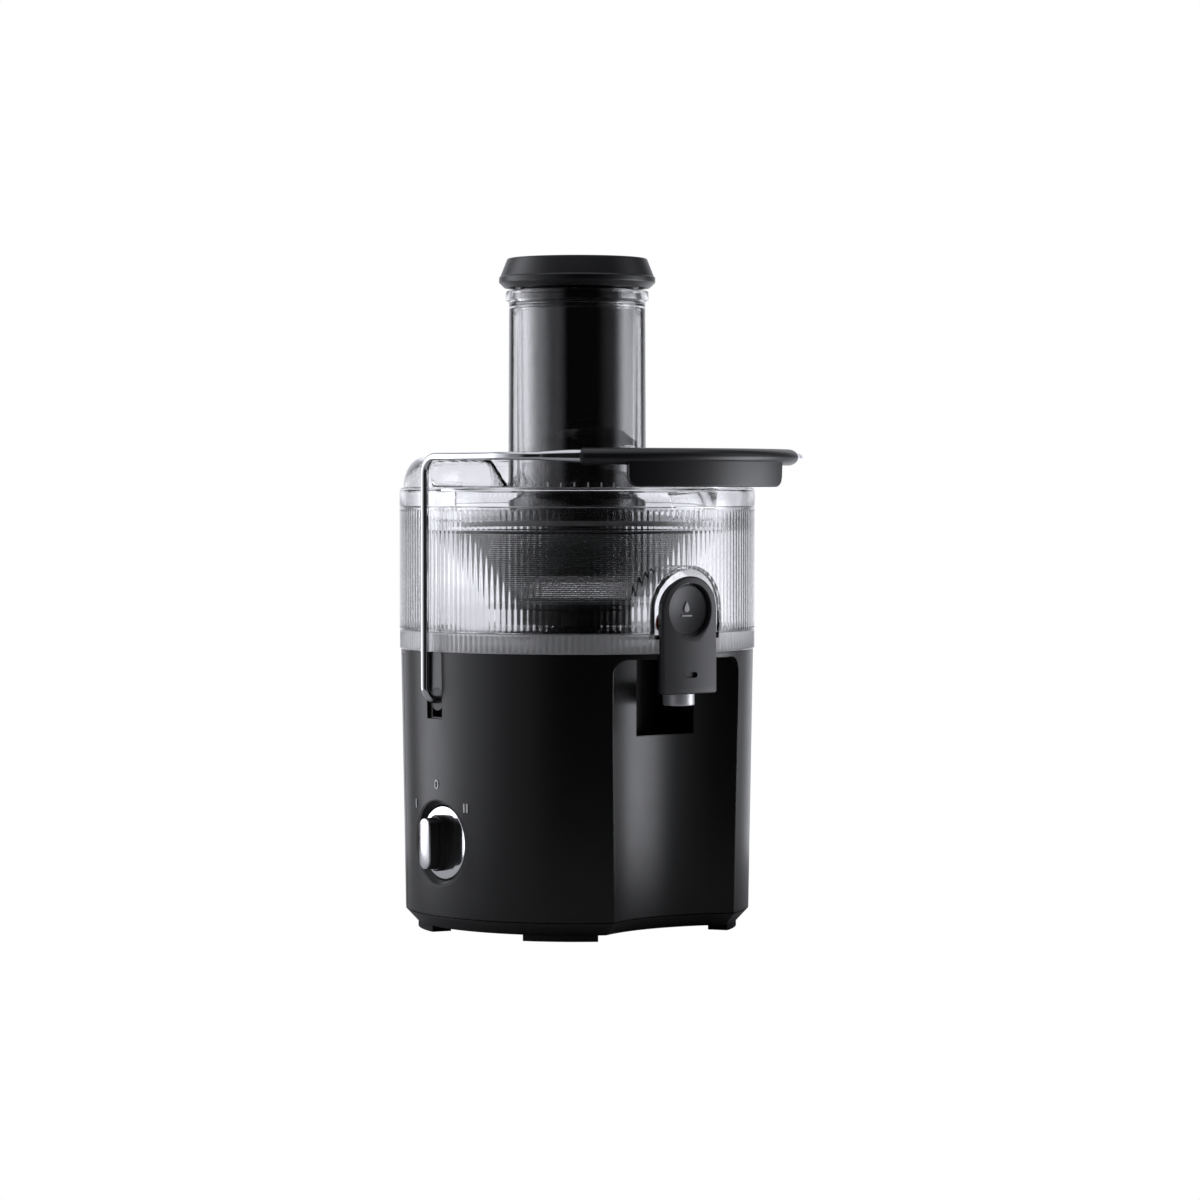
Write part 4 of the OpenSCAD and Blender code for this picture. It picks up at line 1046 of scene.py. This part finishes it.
def facing_left(points, x):
    """Turns points so that their third axis points along -X, starting from the plane x."""
    return np.stack([x - points[:, 2], -points[:, 0], points[:, 1] + KNOB_Z], -1)


def spin_left(name, outline, x, around=96):
    """An outline of (radius, height) carried round the knob's axis."""
    a = np.linspace(0, 2 * math.pi, around, endpoint=False)[:, None]
    r, h = outline[None, :, 0], outline[None, :, 1]
    pts = np.stack([r * np.cos(a), r * np.sin(a), h * np.ones_like(a)], -1)
    grid = facing_left(pts.reshape(-1, 3), x).reshape(pts.shape)
    return skin(name, grid, close_rows=True, close_cols=True)


DISC_ROUND = np.array([0, 0.6, 0.3, 0]) * MM
disc = spin_left("knob_ring", upright(AXIS, DISC_R, 0, -4 * MM, DISC_ROUND, 5), DISC_X)
dress(disc, MIRROR_SILVER, "speed_knob", "silver_plastic", "knob_disc")

BAR_L, BAR_T = 32.5 * MM, 11 * MM
bar_out = DISC_X - BOX["knob_bar"][0].x
stem = slab("stem", stadium(BAR_L, BAR_T), np.array([0, 0.3, bar_out / MM - 0.5, bar_out / MM]) * MM,
            np.array([0, 0, 0, 0.4]) * MM, lambda p: facing_left(p, DISC_X))
step = slab("step", stadium(BAR_L + 3 * MM, BAR_T + 1.6 * MM), np.array([0, 6.2, 6.7]) * MM,
            np.array([0, 0, 0.4]) * MM, lambda p: facing_left(p, DISC_X))
dress(join("knob_handle", [stem, step]), TRIM_BLACK, "speed_knob", "black_trim", "knob_bar")
front = slab("knob_insert", stadium(BAR_L - 0.6 * MM, BAR_T - 0.6 * MM), np.array([0, 0.9, 1.25, 1.4]) * MM,
             np.array([0, 0, 0.25, 0.7]) * MM, lambda p: facing_left(p, BOX["knob_face"][1].x))
dress(front, SATIN_SILVER, "speed_knob", "silver_plastic", "knob_face")

# %% [markdown]
# ## Studio
# A pale floor that only lights the machine from below, and surroundings that are painted by a
# formula instead of lamps.

# %% Floor
floor_finish = Finish("studio_floor", Specular_IOR_Level=0.2)
floor_finish.set("Base Color", floor_finish.between(floor_finish.noise(3, 2), grey(0.5), grey(0.55)))
floor_finish.set("Roughness", 0.6 + 0.1 * floor_finish.noise(5, 2))
FLOOR_LOW = -0.2 * MM
floor_radii = np.array([0.001, 0.1, 0.2, 0.3, 0.4, 0.5])
floor_grid = np.stack([np.insert(circle(radius, 64), 2, FLOOR_LOW, 1) for radius in floor_radii])
floor = skin("floor", floor_grid, close_cols=True)
floor.data.materials.append(floor_finish.material)
floor.visible_camera = False

# %% World
world = bpy.data.worlds.new("studio")
bpy.context.scene.world = world
world.use_nodes = True
world.node_tree.nodes.clear()
sky = Shading(world.node_tree)


def along(direction, axis):
    """How far a direction goes along an axis: the dot product of the two."""
    return sky.node("VectorMath", {"operation": "DOT_PRODUCT"}, {0: direction, 1: axis}, "Value")


def step_up(value, low, high):
    """0 below low, 1 above high, a smooth step between. Low may be the larger of the two."""
    ends = {0: value, 1: low, 2: high, 3: 0.0, 4: 1.0}
    return sky.node("MapRange", {"interpolation_type": "SMOOTHSTEP"}, ends)


def add_up(level, steps, value, factor=1.0):
    """Adds a row of smooth steps (start, end, rise) to a brightness, each times a factor."""
    for start, end, rise in steps:
        level = level + step_up(value, start, end) * rise * factor
    return level


# %% [markdown]
# The surroundings are a function of the bearing of a ray, counted in degrees from the camera:
# positive to the left, 180 straight behind the machine. The backdrop is white behind the machine,
# a tall soft box stands on the left, a low one on the right, and the rest is nearly black. The
# black parts show the soft boxes as upright bands, and the dark gaps draw the edges of clear parts.

# %% Soft boxes by bearing
LEFT_BOX = [(16, 36, 0.25), (44, 76, 0.75), (74, 106, 1.75), (118, 132, -2.6)]
RIGHT_BOX = [(-34, -60, 0.3), (-70, -90, 5.2), (-104, -124, -5.0)]
BACKDROP = [(138, 160, 0.9), (-138, -160, 0.8)]
TOP_BOX = [(0.72, 0.9, 0.9)]
DARK = 0.012

direction = sky.node("TexCoord", {}, {}, "Generated")
ahead = along(direction, (-math.sin(VIEW_ANGLE), -math.cos(VIEW_ANGLE), 0))
leftward = along(direction, (-math.cos(VIEW_ANGLE), math.sin(VIEW_ANGLE), 0))
upward = along(direction, (0, 0, 1))
bearing = leftward.arctan2(ahead) * (180 / math.pi)
low_down = step_up(upward, 0.02, -0.07) * 0.86 + 0.14
level = add_up(DARK, LEFT_BOX + BACKDROP, bearing)
level = add_up(level, RIGHT_BOX, bearing, low_down)
level = add_up(level * (1 - step_up(upward, 0.5, 0.85)), TOP_BOX, upward)

# %% [markdown]
# The machine is lit by that brightness, but the backdrop that the camera sees is plain white.

# %% Backdrop
seen = sky.node("LightPath", {}, {}, "Is Camera Ray")
strength = sky.node("Mix", {"data_type": "FLOAT"}, {0: seen, 2: level, 3: 1.0})
tint = sky.node("Mix", {"data_type": "RGBA"}, {0: seen, 6: (0.93, 0.94, 1.0, 1), 7: (1, 1, 1, 1)}, 2)
background = sky.node("Background", {}, {"Color": tint, "Strength": strength})
sky.join(background, sky.tree.nodes.new("ShaderNodeOutputWorld").inputs["Surface"])
bpy.context.scene.view_settings.view_transform = "Standard"
